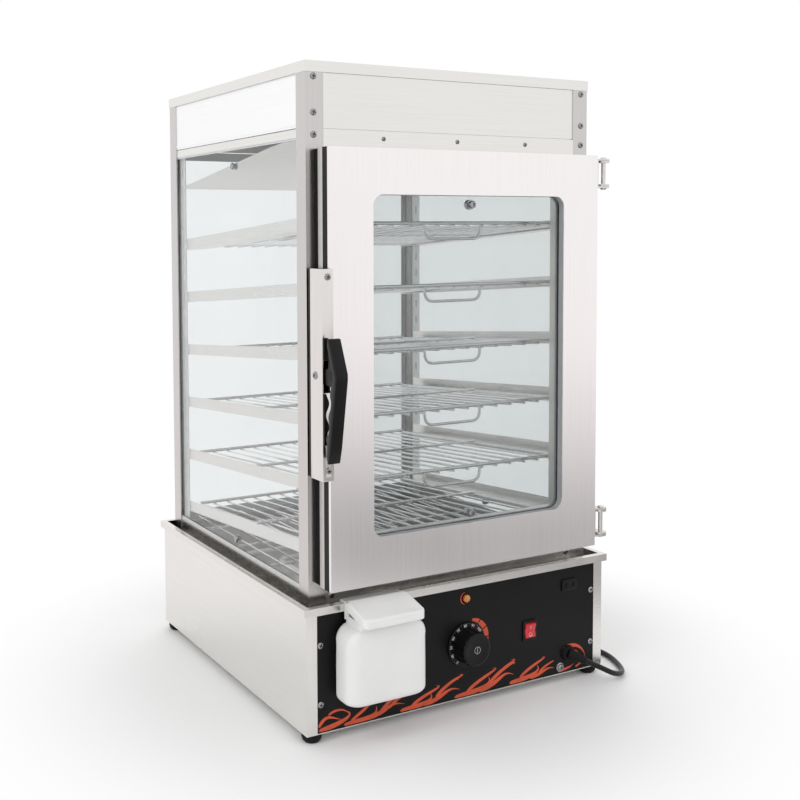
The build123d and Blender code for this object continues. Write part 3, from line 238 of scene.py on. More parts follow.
def gasket_silicone(name):
    """Pane gasket: black at its cut edges, light silicone where it lies flat on the glass."""
    def flat(tree):
        normal = add(tree, "ShaderNodeSeparateXYZ",
                     {0: add(tree, "ShaderNodeVectorMath",
                             {0: add(tree, "ShaderNodeTexCoord").outputs["Normal"]},
                             operation="ABSOLUTE").outputs[0]})
        rear = add(tree, "ShaderNodeMath", {0: add(tree, "ShaderNodeSeparateXYZ", {0: add(
            tree, "ShaderNodeTexCoord").outputs["Object"]}).outputs["Y"], 1: CAB_BACK - 0.005},
            operation="GREATER_THAN")
        deep = add(tree, "ShaderNodeMath", {0: rear.outputs[0], 1: normal.outputs["Y"]}, operation="MULTIPLY")
        most = add(tree, "ShaderNodeMath", {0: deep.outputs[0], 1: normal.outputs["X"]}, operation="MAXIMUM")
        return add(tree, "ShaderNodeMath", {0: most.outputs[0], 1: 0.9}, operation="GREATER_THAN").outputs[0]
    return two_tone(name, "#161617", "#dfe1e2", flat, 0.5)


def plastic(name, colour, rough, coat=0.0, grain_mm=0.4, strength=0.15, subsurface=0.0, shine=0.5,
            mottle=0.86):
    """Moulded plastic or rubber: fine grain in mm, slight tone changes and a soft coat."""
    material, tree, out = new_material(name)
    per_metre = 1000.0 / grain_mm
    grain = add(tree, "ShaderNodeTexNoise", {"Vector": coordinates(tree, (per_metre,) * 3),
                                             "Scale": 1.0, "Detail": 2.0}).outputs["Fac"]
    tone = add(tree, "ShaderNodeTexNoise", {"Vector": coordinates(tree, (18, 18, 18)),
                                            "Scale": 1.0, "Detail": 3.0}).outputs["Fac"]
    base = srgb(colour)
    darker = tuple(c * mottle for c in base[:3]) + (1.0,)
    shade = ramp(tree, tone, [(0.35, darker), (0.65, base)])
    span = add(tree, "ShaderNodeMapRange", {"Value": tone, "From Min": 0.3, "From Max": 0.7,
                                            "To Min": rough - 0.04, "To Max": rough + 0.06})
    bump = add(tree, "ShaderNodeBump", {"Height": grain, "Strength": strength, "Distance": 0.0001})
    shader = add(tree, "ShaderNodeBsdfPrincipled", {
        "Base Color": shade, "Roughness": span.outputs[0], "Coat Weight": coat,
        "Coat Roughness": 0.08, "Subsurface Weight": subsurface, "Specular IOR Level": shine,
        "Normal": bump.outputs[0]})
    shader.inputs["Subsurface Radius"].default_value = (0.004, 0.003, 0.002)
    tree.links.new(shader.outputs[0], out.inputs["Surface"])
    return material


def pane_glass(name, tint):
    """Thin clear pane: lets light straight through and mirrors more at a low angle."""
    material, tree, out = new_material(name)
    smear = add(tree, "ShaderNodeTexNoise", {"Vector": coordinates(tree, (6, 6, 2.5)), "Scale": 1.0,
                                             "Detail": 4.0}).outputs["Fac"]
    rough = add(tree, "ShaderNodeMapRange", {"Value": smear, "From Min": 0.35, "From Max": 0.7,
                                             "To Min": 0.01, "To Max": 0.07}).outputs[0]
    clear = add(tree, "ShaderNodeBsdfTransparent", {"Color": srgb(tint)})
    shine = add(tree, "ShaderNodeBsdfGlossy", {"Roughness": rough, "Color": (1, 1, 1, 1)})
    slant = add(tree, "ShaderNodeFresnel", {"IOR": 1.5})
    inside = add(tree, "ShaderNodeNewGeometry").outputs["Backfacing"]
    outer = add(tree, "ShaderNodeMath", {0: 1.0, 1: inside}, operation="SUBTRACT")
    edge = add(tree, "ShaderNodeMath", {0: slant.outputs[0], 1: outer.outputs[0]}, operation="MULTIPLY")
    haze = add(tree, "ShaderNodeBsdfDiffuse", {"Color": srgb("#f1f3f6")})
    film = add(tree, "ShaderNodeMapRange", {"Value": smear, "From Min": 0.3, "From Max": 0.75,
                                            "To Min": 0.01, "To Max": 0.05}).outputs[0]
    body = add(tree, "ShaderNodeMixShader", {0: film, 1: clear.outputs[0], 2: haze.outputs[0]})
    mixed = add(tree, "ShaderNodeMixShader", {0: edge.outputs[0], 1: body.outputs[0],
                                              2: shine.outputs[0]})
    tree.links.new(mixed.outputs[0], out.inputs["Surface"])
    return material


def paint(name, colour, rough=0.45):
    """Screen-printed ink or enamel, slightly uneven; also the painted shade of the screws' cross recesses."""
    material, tree, out = new_material(name)
    tone = add(tree, "ShaderNodeTexNoise", {"Vector": coordinates(tree, (60, 60, 60)), "Scale": 1.0,
                                            "Detail": 3.0}).outputs["Fac"]
    base = srgb(colour)
    darker = tuple(c * 0.8 for c in base[:3]) + (1.0,)
    shade = ramp(tree, tone, [(0.3, darker), (0.6, base)])
    shader = add(tree, "ShaderNodeBsdfPrincipled", {"Base Color": shade, "Roughness": rough})
    tree.links.new(shader.outputs[0], out.inputs["Surface"])
    return material


def dress(node, material):
    """Give a CAD node's object another material."""
    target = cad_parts[node]
    target.data.materials.clear()
    target.data.materials.append(material)


def mesh_piece(name, vertices, faces, material, body, replaced=(), smooth=True):
    """Mesh object at the origin that rides on a body, and may stand for CAD nodes."""
    mesh = bpy.data.meshes.new(name)
    mesh.from_pydata([tuple(map(float, v)) for v in vertices], [], [tuple(map(int, f)) for f in faces])
    mesh.validate()
    mesh.update()
    piece = bpy.data.objects.new(name, mesh)
    bpy.context.scene.collection.objects.link(piece)
    if smooth:
        mesh.shade_smooth()
        mesh.set_sharp_from_angle(angle=math.radians(35))
    mesh.materials.append(material)
    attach(piece, body)
    if replaced:
        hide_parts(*replaced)
    return piece


def grid_faces(rows, columns, closed=True, start=0):
    """Quads of a rows by columns grid, closed round its columns."""
    faces = []
    last = columns if closed else columns - 1
    for row in range(rows - 1):
        for column in range(last):
            after = (column + 1) % columns
            a, b = start + row * columns + column, start + row * columns + after
            faces.append((a, b, b + columns, a + columns))
    return faces


class Parts:
    """Vertices and faces gathered from several closed surfaces."""

    def __init__(self):
        self.vertices = []
        self.faces = []

    def grid(self, rings, caps=True):
        """Add rings of equal length as one surface, closed at both ends by its end rings."""
        start = len(self.vertices)
        count = len(rings[0])
        for ring in rings:
            self.vertices.extend(ring)
        self.faces += grid_faces(len(rings), count, True, start)
        if caps:
            end = start + (len(rings) - 1) * count
            self.faces.append(tuple(range(start + count - 1, start - 1, -1)))
            self.faces.append(tuple(range(end, end + count)))

    def tube(self, path, radius, sides=12):
        """Tube of a radius on a path: ring k is p_k + r (cos a u_k + sin a v_k), u and v carried along."""
        path = np.asarray(path, float)
        ways = np.gradient(path, axis=0)
        ways /= np.linalg.norm(ways, axis=1)[:, None]
        u = np.cross(ways[0], (0.31, 0.52, 0.79))
        u /= np.linalg.norm(u)
        angles = np.linspace(0, 2 * math.pi, sides, endpoint=False)
        rings = []
        for point, way in zip(path, ways):
            u = u - way * np.dot(u, way)
            u /= np.linalg.norm(u)
            v = np.cross(way, u)
            rings.append([point + radius * (math.cos(a) * u + math.sin(a) * v) for a in angles])
        self.grid(rings)

    def turned(self, profile, centre, axis, sides=32):
        """Solid of revolution: profile holds (distance along axis, radius) from one end to the other."""
        axis = np.asarray(axis, float)
        centre = np.asarray(centre, float)
        u = np.cross(axis, (0.31, 0.52, 0.79))
        u /= np.linalg.norm(u)
        v = np.cross(axis, u)
        angles = np.linspace(0, 2 * math.pi, sides, endpoint=False)
        rings = [[centre + axis * along + radius * (math.cos(a) * u + math.sin(a) * v) for a in angles]
                 for along, radius in profile]
        self.grid(rings)

    def piece(self, name, material, body, replaced=(), smooth=True):
        """Mesh object from what was gathered."""
        return mesh_piece(name, self.vertices, self.faces, material, body, replaced, smooth)


def softened(node, name, material, body, width, segments=2, angle=28):
    """Stand-in for a CAD node with its sharp edges rounded: flat faces joined, then each edge bevelled."""
    work = bmesh.new()
    work.from_mesh(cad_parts[node].data)
    bmesh.ops.remove_doubles(work, verts=work.verts, dist=1e-6)
    bmesh.ops.dissolve_limit(work, angle_limit=math.radians(1.0), verts=work.verts, edges=work.edges)
    sharp = [edge for edge in work.edges
             if len(edge.link_faces) == 2 and edge.calc_face_angle() > math.radians(angle)]
    bmesh.ops.bevel(work, geom=sharp, offset=width, segments=segments, profile=0.5,
                    affect="EDGES", clamp_overlap=True)
    mesh = bpy.data.meshes.new(name)
    work.to_mesh(mesh)
    work.free()
    mesh.shade_smooth()
    mesh.set_sharp_from_angle(angle=math.radians(40))
    mesh.materials.clear()
    mesh.materials.append(material)
    piece = bpy.data.objects.new(name, mesh)
    bpy.context.scene.collection.objects.link(piece)
    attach(piece, body)
    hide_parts(node)
    return piece


def rounded_rectangle(half_x, half_y, radius, count=64):
    """Ring of (x, y): a rectangle of half sizes with corners of a radius, evenly by angle of turn."""
    ring = []
    per = count // 4
    for corner, (sx, sy) in enumerate(((1, 1), (-1, 1), (-1, -1), (1, -1))):
        for k in range(per):
            a = math.pi / 2 * (corner + k / (per - 1))
            ring.append((sx * (half_x - radius) + radius * math.cos(a),
                         sy * (half_y - radius) + radius * math.sin(a)))
    return ring


MATERIALS = {}


def material(name):
    """One of the named materials, made when it is first asked for."""
    if name not in MATERIALS:
        MATERIALS[name] = MAKERS[name]()
    return MATERIALS[name]


MAKERS = {
    # tray: its near-black inside colour is painted shade
    "sheet_gutter": lambda: tray_steel("stainless tray, painted shade inside", "#e6e4e1", "#171412"),
    # 304 stainless sheet, brushed crosswise on level pieces and upright on the door
    "sheet_level": lambda: brushed("brushed stainless, level grain", "#ecebe8", "#e4e2df", 0.24,
                                   (6, 6, 2400), 0.02),
    "sheet_upright": lambda: brushed("brushed stainless, upright grain", "#e6e3e1", "#dddad8", 0.24,
                                     (2400, 2400, 6), 0.02),
    "sheet_door": lambda: brushed("brushed stainless door", "#fbf7f7", "#f1eded", 0.24,
                                  (2400, 2400, 6), 0.02),
    "sheet_rack": lambda: brushed("stainless rack", "#eeeeed", "#e3e3e2", 0.34, (90, 90, 90), 0.02, 0.4),
    "glass_door": lambda: pane_glass("door glass", "#eceeee"),
    # posts: a darker copy of the same brushed stainless, painted shade standing for the darker reflections on
    # their fronts
    "sheet_post": lambda: brushed("brushed stainless post, painted darker", "#d3d0cf", "#c9c6c4", 0.24,
                                  (2400, 2400, 6), 0.02),
    "sheet_filmed": lambda: brushed("stainless under white film", "#fcfcfd", "#f7f7f8", 0.3, (6, 6, 2400),
                                    0.01, 0.15),
    "gasket": lambda: gasket_silicone("pane gasket"),
    "glazing": lambda: glazing_rubber("glazing rubber", "#121213", "#a5a6a9"),
    "sheet_satin": lambda: brushed("satin stainless", "#e4e2df", "#dad8d5", 0.34, (90, 90, 90), 0.02),
    "wire": lambda: brushed("polished stainless wire", "#eeeeee", "#dcdcdc", 0.16, (200, 200, 200), 0.01),
    "bright": lambda: brushed("bright zinc screw", "#b4b4b6", "#8c8c8e", 0.2, (700, 700, 700), 0.05),
    "panel": lambda: plastic("black powder coat", "#151516", 0.38, 0.0, 0.5, 0.10, shine=0.16),
    "rubber": lambda: plastic("black rubber", "#131313", 0.62, 0.0, 0.3, 0.2, shine=0.2),
    "black_plastic": lambda: plastic("black phenolic", "#111112", 0.36, 0.0, 0.5, 0.12, shine=0.22),
    "knob_plastic": lambda: plastic("black dial plastic", "#111113", 0.34, 0.0, 0.5, 0.08, shine=0.22),
    "red": lambda: plastic("red polycarbonate", "#d01f2b", 0.22, 0.2, 0.8, 0.05, 0.1),
    "amber": lambda: plastic("amber acrylic", "#d8892c", 0.15, 0.8, 0.8, 0.05, 0.25),
    "white": lambda: plastic("white polypropylene", "#ededec", 0.4, 0.0, 0.7, 0.08, 0.08, 0.35, 0.97),
    "cord": lambda: plastic("black PVC sheath", "#141415", 0.36, 0.0, 0.4, 0.12, shine=0.3),
    "glass": lambda: pane_glass("clear tempered glass", "#fbfcfc"),
    "orange_print": lambda: paint("orange print", "#d4512c"),
    "white_print": lambda: paint("white print", "#e8e8e6"),
    # dark recess colour: painted shade in the screws' cross recesses
    "recess_shade": lambda: paint("painted shade of cross recess", "#2a2a2b", 0.6),
}


class StageSettings(bpy.types.PropertyGroup):
    floor_colour: FloatVectorProperty(name="Floor", description="Colour of the pale floor",
                                      subtype="COLOR", size=3, min=0, max=1, default=(0.95, 0.95, 0.95))
    key_power: FloatProperty(name="Key light", description="Power of the large soft light",
                             default=16.0, min=0.0, subtype="POWER")
    world_light: FloatProperty(name="World light", description="Strength of the even light",
                               default=0.8, min=0.0)


class SteamerSettings(bpy.types.PropertyGroup):
    wire_radius: FloatProperty(name="Shelf wire", description="Radius of the thin shelf wires",
                               default=0.0015, min=0.0005, max=0.003, subtype="DISTANCE")
    rod_radius: FloatProperty(name="Shelf rod", description="Radius of the shelf's frame rods",
                              default=0.0025, min=0.001, max=0.003, subtype="DISTANCE")


class STEAMER_OT_stage(bpy.types.Operator):
    """Camera as fitted to the photograph, pale floor, soft lights and world"""
    bl_idname = "steamer.stage"
    bl_label = "Stage"

    def execute(self, context):
        settings = context.scene.steamer_stage
        data = bpy.data.cameras.new("camera")
        data.sensor_width = 36.0
        data.lens = 49.93
        data.shift_x = 0.1148
        data.shift_y = -0.1287
        camera = bpy.data.objects.new("camera", data)
        camera.location = (-0.87005, -1.39104, 0.63507)
        camera.rotation_mode = "XYZ"
        turn = Euler((math.radians(90 - 3.34), 0, math.radians(-28.35)), "XYZ").to_matrix()
        roll = Euler((0, 0, math.radians(-0.37)), "XYZ").to_matrix()
        camera.rotation_euler = (turn @ roll).to_euler("XYZ")
        context.scene.collection.objects.link(camera)
        context.scene.camera = camera

        floor_material, tree, out = new_material("white studio floor")
        where = add(tree, "ShaderNodeTexCoord").outputs["Object"]
        away = add(tree, "ShaderNodeVectorMath", {0: where, 1: BAND_WAY},
                   operation="DOT_PRODUCT").outputs["Value"]
        shader = add(tree, "ShaderNodeBsdfPrincipled", {"Base Color": tuple(settings.floor_colour) + (1,),
                                                        "Roughness": 0.7})
        span = add(tree, "ShaderNodeMapRange", {"Value": away, "From Min": BAND_SPAN[0],
                                                "From Max": BAND_SPAN[1]}).outputs[0]
        reach = add(tree, "ShaderNodeVectorMath", {0: where}, operation="LENGTH").outputs["Value"]
        fade = add(tree, "ShaderNodeMapRange", {"Value": reach, "From Min": FLOOR_FADE[0],
                                                "From Max": FLOOR_FADE[1]},
                   interpolation_type="SMOOTHSTEP").outputs[0]
        rays = add(tree, "ShaderNodeLightPath")
        looks = add(tree, "ShaderNodeMath", {0: rays.outputs["Is Camera Ray"],
                                             1: rays.outputs["Is Glossy Ray"]}, operation="MAXIMUM")
        looks = add(tree, "ShaderNodeMath", {0: looks.outputs[0], 1: rays.outputs["Is Transmission Ray"]},
                    operation="MAXIMUM")
        blank = add(tree, "ShaderNodeMath", {0: fade, 1: looks.outputs[0]}, operation="MULTIPLY")
        # painted reflection: the band's darker tones reach glossy rays only, and all other rays see white
        tone = ramp(tree, span, [(at, (level, level * BAND_GREEN_BLUE, level * BAND_GREEN_BLUE, 1))
                                 for at, level in PAINTED_REFLECTION_TONES])
        tone = add(tree, "ShaderNodeMix", {"Factor": rays.outputs["Is Glossy Ray"], 6: (1, 1, 1, 1),
                                           7: tone}, data_type="RGBA").outputs[2]
        white = add(tree, "ShaderNodeEmission", {"Color": tone, "Strength": 1.0})
        surface = add(tree, "ShaderNodeMixShader", {0: blank.outputs[0], 1: shader.outputs[0],
                                                    2: white.outputs[0]})
        tree.links.new(surface.outputs[0], out.inputs["Surface"])
        mesh = bpy.data.meshes.new("floor")
        mesh.from_pydata([(-9, -9, 0), (9, -9, 0), (9, 9, 0), (-9, 9, 0)], [], [(0, 1, 2, 3)])
        floor = bpy.data.objects.new("floor", mesh)
        mesh.materials.append(floor_material)
        context.scene.collection.objects.link(floor)

        world = bpy.data.worlds.new("studio")
        world.use_nodes = True
        tree = world.node_tree
        tree.nodes.clear()
        out = add(tree, "ShaderNodeOutputWorld")
        rays = add(tree, "ShaderNodeLightPath")
        looks = add(tree, "ShaderNodeMath", {0: rays.outputs["Is Camera Ray"],
                                             1: rays.outputs["Is Glossy Ray"]}, operation="MAXIMUM")
        looks = add(tree, "ShaderNodeMath", {0: looks.outputs[0], 1: rays.outputs["Is Transmission Ray"]},
                    operation="MAXIMUM")
        strength = add(tree, "ShaderNodeMapRange", {"Value": looks.outputs[0],
                                                    "To Min": settings.world_light, "To Max": 1.0})
        back = add(tree, "ShaderNodeBackground", {"Color": (1, 1, 1, 1), "Strength": strength.outputs[0]})
        tree.links.new(back.outputs[0], out.inputs["Surface"])
        context.scene.world = world

        for name, place, aim, size, power in (
                ("key", (-2.6, -1.0, 2.5), (0, 0, 0.4), 1.8, 1.35),
                ("front", (0.6, -2.6, 1.8), (0, 0, 0.4), 1.6, 0.35),
                ("back", (1.2, 2.2, 2.0), (0, 0, 0.5), 2.0, 0.8)):
            light = bpy.data.lights.new(name, "AREA")
            light.shape = "SQUARE"
            light.size = size
            light.energy = settings.key_power * power
            lamp = bpy.data.objects.new(name, light)
            lamp.location = place
            lamp.visible_glossy = False
            way = Vector(aim) - Vector(place)
            lamp.rotation_euler = way.to_track_quat("-Z", "Y").to_euler()
            context.scene.collection.objects.link(lamp)
        context.scene.view_settings.view_transform = "Standard"
        return {"FINISHED"}


def coil_points():
    """Control points of the put-away coil: clockwise in on the floor, up one lead, out on top."""
    turns = 2 * COIL_LAYER_TURNS + COIL_RISE
    inner = COIL_OUTER - COIL_PITCH * COIL_LAYER_TURNS
    steps = 16
    widen = 1 / math.cos(math.pi / steps)
    points = []
    for k in range(1, int(turns * steps) + 1):
        t = k / steps
        climbed = min(1.0, max(0.0, (t - COIL_LAYER_TURNS) / COIL_RISE))
        if t <= COIL_LAYER_TURNS:
            radius = COIL_OUTER - COIL_PITCH * t
        else:
            radius = inner + COIL_PITCH * max(0.0, t - COIL_LAYER_TURNS - COIL_RISE)
        angle = math.pi - 2 * math.pi * t
        height = 0.004 + COIL_PITCH * climbed * climbed * (3 - 2 * climbed)
        points.append((COIL_CENTRE[0] + widen * radius * math.cos(angle),
                       COIL_CENTRE[1] + widen * radius * math.sin(angle), height))
    end = np.array(points[-1])
    way = np.array((1.0, 0.0, 0.0))
    points.append(tuple(end + way * 0.016))
    points.append(tuple(end + way * 0.031))
    return points


class STEAMER_OT_mains_lead(bpy.types.Operator):
    """Black mains lead: loose run from the gland, then a coil put away beside the cabinet"""
    bl_idname = "steamer.mains_lead"
    bl_label = "Mains lead"

    def execute(self, context):
        data = bpy.data.curves.new("mains_lead", "CURVE")
        data.dimensions = "3D"
        data.bevel_depth = CORD_D / 2
        data.bevel_resolution = 4
        points = list(LEAD_ROUTE) + coil_points()
        spline = data.splines.new("NURBS")
        spline.points.add(len(points) - 1)
        for point, place in zip(spline.points, points):
            point.co = (*place, 1.0)
        spline.order_u = 3
        spline.use_endpoint_u = True
        spline.resolution_u = 6
        data.use_fill_caps = True
        data.materials.append(material("cord"))
        lead = bpy.data.objects.new("mains_lead", data)
        context.scene.collection.objects.link(lead)
        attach(lead, "cabinet")
        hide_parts("power_cord", "cord_coil")
        dress("power_plug", material("cord"))
        return {"FINISHED"}


class STEAMER_OT_sheet_metal(bpy.types.Operator):
    """Materials of the stainless housing, posts, covers, frames and hinges"""
    bl_idname = "steamer.sheet_metal"
    bl_label = "Sheet metal"

    def execute(self, context):
        dress("gutter_tray", material("sheet_gutter"))
        dress("upper_casing", material("sheet_filmed"))
        for node in ("base_shell", "top_cover", "front_fascia", "front_frame", "left_frame",
                     "right_frame", "back_frame", "shelf_rails"):
            dress(node, material("sheet_level"))
        for node in ("corner_post_front_left", "corner_post_front_right", "corner_post_back_left",
                     "corner_post_back_right"):
            dress(node, material("sheet_post"))
        dress("door_plate", material("sheet_door"))
        dress("rack_uprights", material("sheet_rack"))
        dress("latch_cover", material("sheet_upright"))
        for node in ("base_plate", "water_pan", "drip_plate", "door_channel", "thermostat",
                     "latch_hook", "latch_keeper", "hinge_door_leaves", "hinge_frame_leaves",
                     "hinge_pins", "heating_element"):
            dress(node, material("sheet_satin"))
        return {"FINISHED"}


class STEAMER_OT_glazing(bpy.types.Operator):
    """Materials of the panes, gaskets and seals"""
    bl_idname = "steamer.glazing"
    bl_label = "Glazing"

    def execute(self, context):
        for node in ("left_glass", "right_glass", "back_glass"):
            dress(node, material("glass"))
        dress("door_glass", material("glass_door"))
        for node in ("door_seal", "rubber_feet"):
            dress(node, material("rubber"))
        dress("pane_gaskets", material("gasket"))
        dress("door_rubber", material("glazing"))
        dress("glass_studs", material("bright"))
        return {"FINISHED"}


def shelf_place(x, s, n, front_z):
    """Point of a tilted shelf: x across, s down its slope from the front rod, n above its plane."""
    cos, sin = math.cos(SHELF_TILT), math.sin(SHELF_TILT)
    return (x, FRONT_ROD_Y + s * cos + n * sin, front_z - s * sin + n * cos)


def rounded_run(corners, radius, steps=6):
    """Polyline with each inner corner replaced by points on a quadratic curve."""
    corners = [np.asarray(c, float) for c in corners]
    path = [corners[0]]
    for before, corner, after in zip(corners, corners[1:], corners[2:]):
        a = corner + (before - corner) / np.linalg.norm(before - corner) * radius
        b = corner + (after - corner) / np.linalg.norm(after - corner) * radius
        for t in np.linspace(0, 1, steps):
            path.append((1 - t) ** 2 * a + 2 * t * (1 - t) * corner + t * t * b)
    path.append(corners[-1])
    return path


class STEAMER_OT_shelves(bpy.types.Operator):
    """Six round-wire shelves with bail handles, and the level grid over the water pan"""
    bl_idname = "steamer.shelves"
    bl_label = "Shelves"

    def execute(self, context):
        settings = context.scene.steamer
        wire, rod = settings.wire_radius, settings.rod_radius
        for number, front_z in enumerate(SHELF_FRONT_ZS, start=1):
            def at(x, s, n):
                return shelf_place(x, s, n, front_z)
            parts = Parts()
            for s, radius in ((0.0, rod), (SHELF_DEPTH, rod), (SHELF_DEPTH / 2, 0.002)):
                parts.tube([at(-SHELF_HALF, s, 0), at(0, s, 0), at(SHELF_HALF, s, 0)], radius)
            for side in (-1, 1):
                x = side * (SHELF_HALF - rod)
                parts.tube([at(x, -0.004, -0.0029), at(x, 0.2, -0.0029), at(x, 0.418, -0.0029)], rod)
            for column in range(-7, 8):
                x = column * WIRE_PITCH
                parts.tube([at(x, -0.004, -0.0036), at(x, 0.2, -0.0036), at(x, 0.418, -0.0036)],
                           wire, 10)
            bail = rounded_run([at(-0.045, 0, 0), at(-0.045, 0, -0.021), at(0.045, 0, -0.021),
                                at(0.045, 0, 0)], 0.014)
            parts.tube(bail, 0.002)
            parts.piece(f"wire_shelf_{number}", material("wire"), f"shelf_{number}_body",
                        (f"shelf_{number}",))
        low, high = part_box("bottom_grid")
        cross_z = low[2] + 0.002
        parts = Parts()
        for row in range(4):
            y = CAB_FRONT + 0.040 + 0.107 * row
            parts.tube([(low[0], y, cross_z), (0, y, cross_z), (high[0], y, cross_z)], 0.002)
        for column in range(-8, 9):
            x = column * WIRE_PITCH
            parts.tube([(x, low[1], cross_z + 0.003), (x, 0, cross_z + 0.003),
                        (x, high[1], cross_z + 0.003)], wire, 10)
        parts.piece("wire_bottom_grid", material("wire"), "cabinet", ("bottom_grid",))
        return {"FINISHED"}


class STEAMER_OT_controls(bpy.types.Operator):
    """Control panel with its dial, rocker, lamp and outlet"""
    bl_idname = "steamer.controls"
    bl_label = "Controls"

    def execute(self, context):
        dress("control_panel", material("panel"))
        softened("power_switch", "switch_bezel", material("black_plastic"), "cabinet", 0.0006)
        softened("switch_rocker", "rocker", material("red"), "rocker", 0.0005)
        softened("outlet_socket", "outlet", material("black_plastic"), "cabinet", 0.0005)
        self.dial()
        self.rocker_marks()
        self.lamp()
        return {"FINISHED"}

    def dial(self):
        """Skirt and grip turned about the spindle: grip radius r0 + a cos(18 t) makes its ribs."""
        face = KNOB_HIGH[1]
        front = KNOB_LOW[1]
        parts = Parts()
        centre = np.array((KNOB_X, 0.0, KNOB_Z))
        angles = np.linspace(0, 2 * math.pi, 144, endpoint=False)

        def ring(y, radius, rib=0.0):
            return [centre + ((radius + rib * math.cos(18 * a)) * math.cos(a), y,
                              (radius + rib * math.cos(18 * a)) * math.sin(a)) for a in angles]

        skirt_front = face - 0.003
        parts.grid([ring(face, 0.0292), ring(face - 0.0008, 0.030), ring(skirt_front + 0.0006, 0.0298),
                    ring(skirt_front, 0.0292), ring(skirt_front, 0.0238, 0.0),
                    ring(skirt_front - 0.002, 0.0230, 0.0006), ring(front + 0.003, 0.0222, 0.0006),
                    ring(front + 0.0012, 0.0215, 0.0003), ring(front + 0.0003, 0.0200),
                    ring(front, 0.0185), ring(front + 0.0004, 0.0175), ring(front + 0.0006, 0.0060),
                    ring(front + 0.0001, 0.0056), ring(front + 0.0001, 0.0001)])
        parts.piece("dial", material("knob_plastic"), "knob", ("thermostat_knob",))
        marks = Parts()
        cap = np.array((KNOB_X, front + 0.0004, KNOB_Z))
        circle = [cap + (0.0046 * math.cos(a), 0.0, 0.0046 * math.sin(a))
                  for a in np.linspace(0, 2 * math.pi, 33)]
        marks.tube(circle, 0.00038, 8)
        marks.tube([cap + (0, 0, -0.0040), cap, cap + (0, 0, 0.0040)], 0.00038, 8)
        for k in range(46):
            a = math.radians(235 - 6.0 * k)
            way = np.array((math.cos(a), 0, math.sin(a)))
            start = np.array((KNOB_X, skirt_front + 0.00004, KNOB_Z))
            marks.tube([start + way * 0.0286, start + way * 0.0289, start + way * 0.0292], 0.00014, 6)
        marks.piece("dial_marks", material("white_print"), "knob")
        for k in range(10):
            a = math.radians(232 - 27.0 * k)
            place = (KNOB_X + 0.0262 * math.cos(a), skirt_front - 0.00012, KNOB_Z + 0.0262 * math.sin(a))
            number(str(30 + 10 * k if k else 0), place, a - math.pi / 2, 0.0052, "knob", f"dial_number_{k}")

    def rocker_marks(self):
        """White bar and ring pressed into the rocker's two halves."""
        low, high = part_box("switch_rocker")
        x, z = (low[0] + high[0]) / 2, (low[2] + high[2]) / 2
        marks = Parts()
        top = low[1] + 0.0019
        marks.tube([(x, top, z + 0.0030), (x, top - 0.0004, z + 0.0050), (x, top - 0.0009, z + 0.0070)],
                   0.00055, 8)
        ring = [(x + 0.0024 * math.cos(a), low[1] + 0.0021 + 0.00040 * math.sin(a),
                 z - 0.0055 + 0.0024 * math.sin(a)) for a in np.linspace(0, 2 * math.pi, 24)]
        marks.tube(ring, 0.0005, 8)
        marks.piece("rocker_marks", material("white_print"), "rocker")

    def lamp(self):
        """Amber lens with a star of facets: its radius swings with the angle, and a dark collar."""
        front = LAMP_LOW[1]
        parts = Parts()
        centre = np.array((LAMP_X, 0.0, LAMP_Z))
        angles = np.linspace(0, 2 * math.pi, 48, endpoint=False)

        def ring(y, radius, star=0.0):
            return [centre + ((radius + star * math.cos(8 * a)) * math.cos(a), y,
                              (radius + star * math.cos(8 * a)) * math.sin(a)) for a in angles]

        parts.grid([ring(PANEL_Y - 0.0004, 0.0001), ring(PANEL_Y - 0.0004, 0.0052),
                    ring(PANEL_Y - 0.0014, 0.0053), ring(front + 0.0022, 0.0050, 0.0003),
                    ring(front + 0.0009, 0.0034, 0.0007),
                    ring(front + 0.0002, 0.0016, 0.0004), ring(front, 0.0001)])
        parts.piece("lamp_lens", material("amber"), "cabinet")
        collar = Parts()
        collar.grid([ring(PANEL_Y + 0.020, 0.0001), ring(PANEL_Y + 0.020, 0.0049), ring(PANEL_Y, 0.0049),
                     ring(PANEL_Y, 0.0070), ring(PANEL_Y - 0.0013, 0.0069), ring(PANEL_Y - 0.0017, 0.0064),
                     ring(PANEL_Y - 0.0013, 0.0056), ring(PANEL_Y - 0.0003, 0.0054),
                     ring(PANEL_Y - 0.0003, 0.0001)])
        collar.piece("lamp_collar", material("black_plastic"), "cabinet", ("indicator_lamp",))


def number(text, place, turn, size, body, name):
    """Raised print of a number on an upright face, turned about the face's normal."""
    data = bpy.data.curves.new(name, "FONT")
    data.body = text
    data.size = size
    data.align_x = "CENTER"
    data.align_y = "CENTER"
    data.extrude = 0.00005
    data.resolution_u = 3
    holder = bpy.data.objects.new(name, data)
    bpy.context.scene.collection.objects.link(holder)
    bpy.context.view_layer.update()
    mesh = bpy.data.meshes.new_from_object(holder)
    bpy.data.objects.remove(holder)
    stand = Euler((math.pi / 2, 0, 0), "XYZ").to_matrix().to_4x4()
    spin = Euler((0, 0, turn), "XYZ").to_matrix().to_4x4()
    mesh.transform(stand @ spin)
    for vertex in mesh.vertices:
        vertex.co += Vector(place)
    mesh.materials.clear()
    mesh.materials.append(material("white_print"))
    piece = bpy.data.objects.new(name, mesh)
    bpy.context.scene.collection.objects.link(piece)
    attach(piece, body)


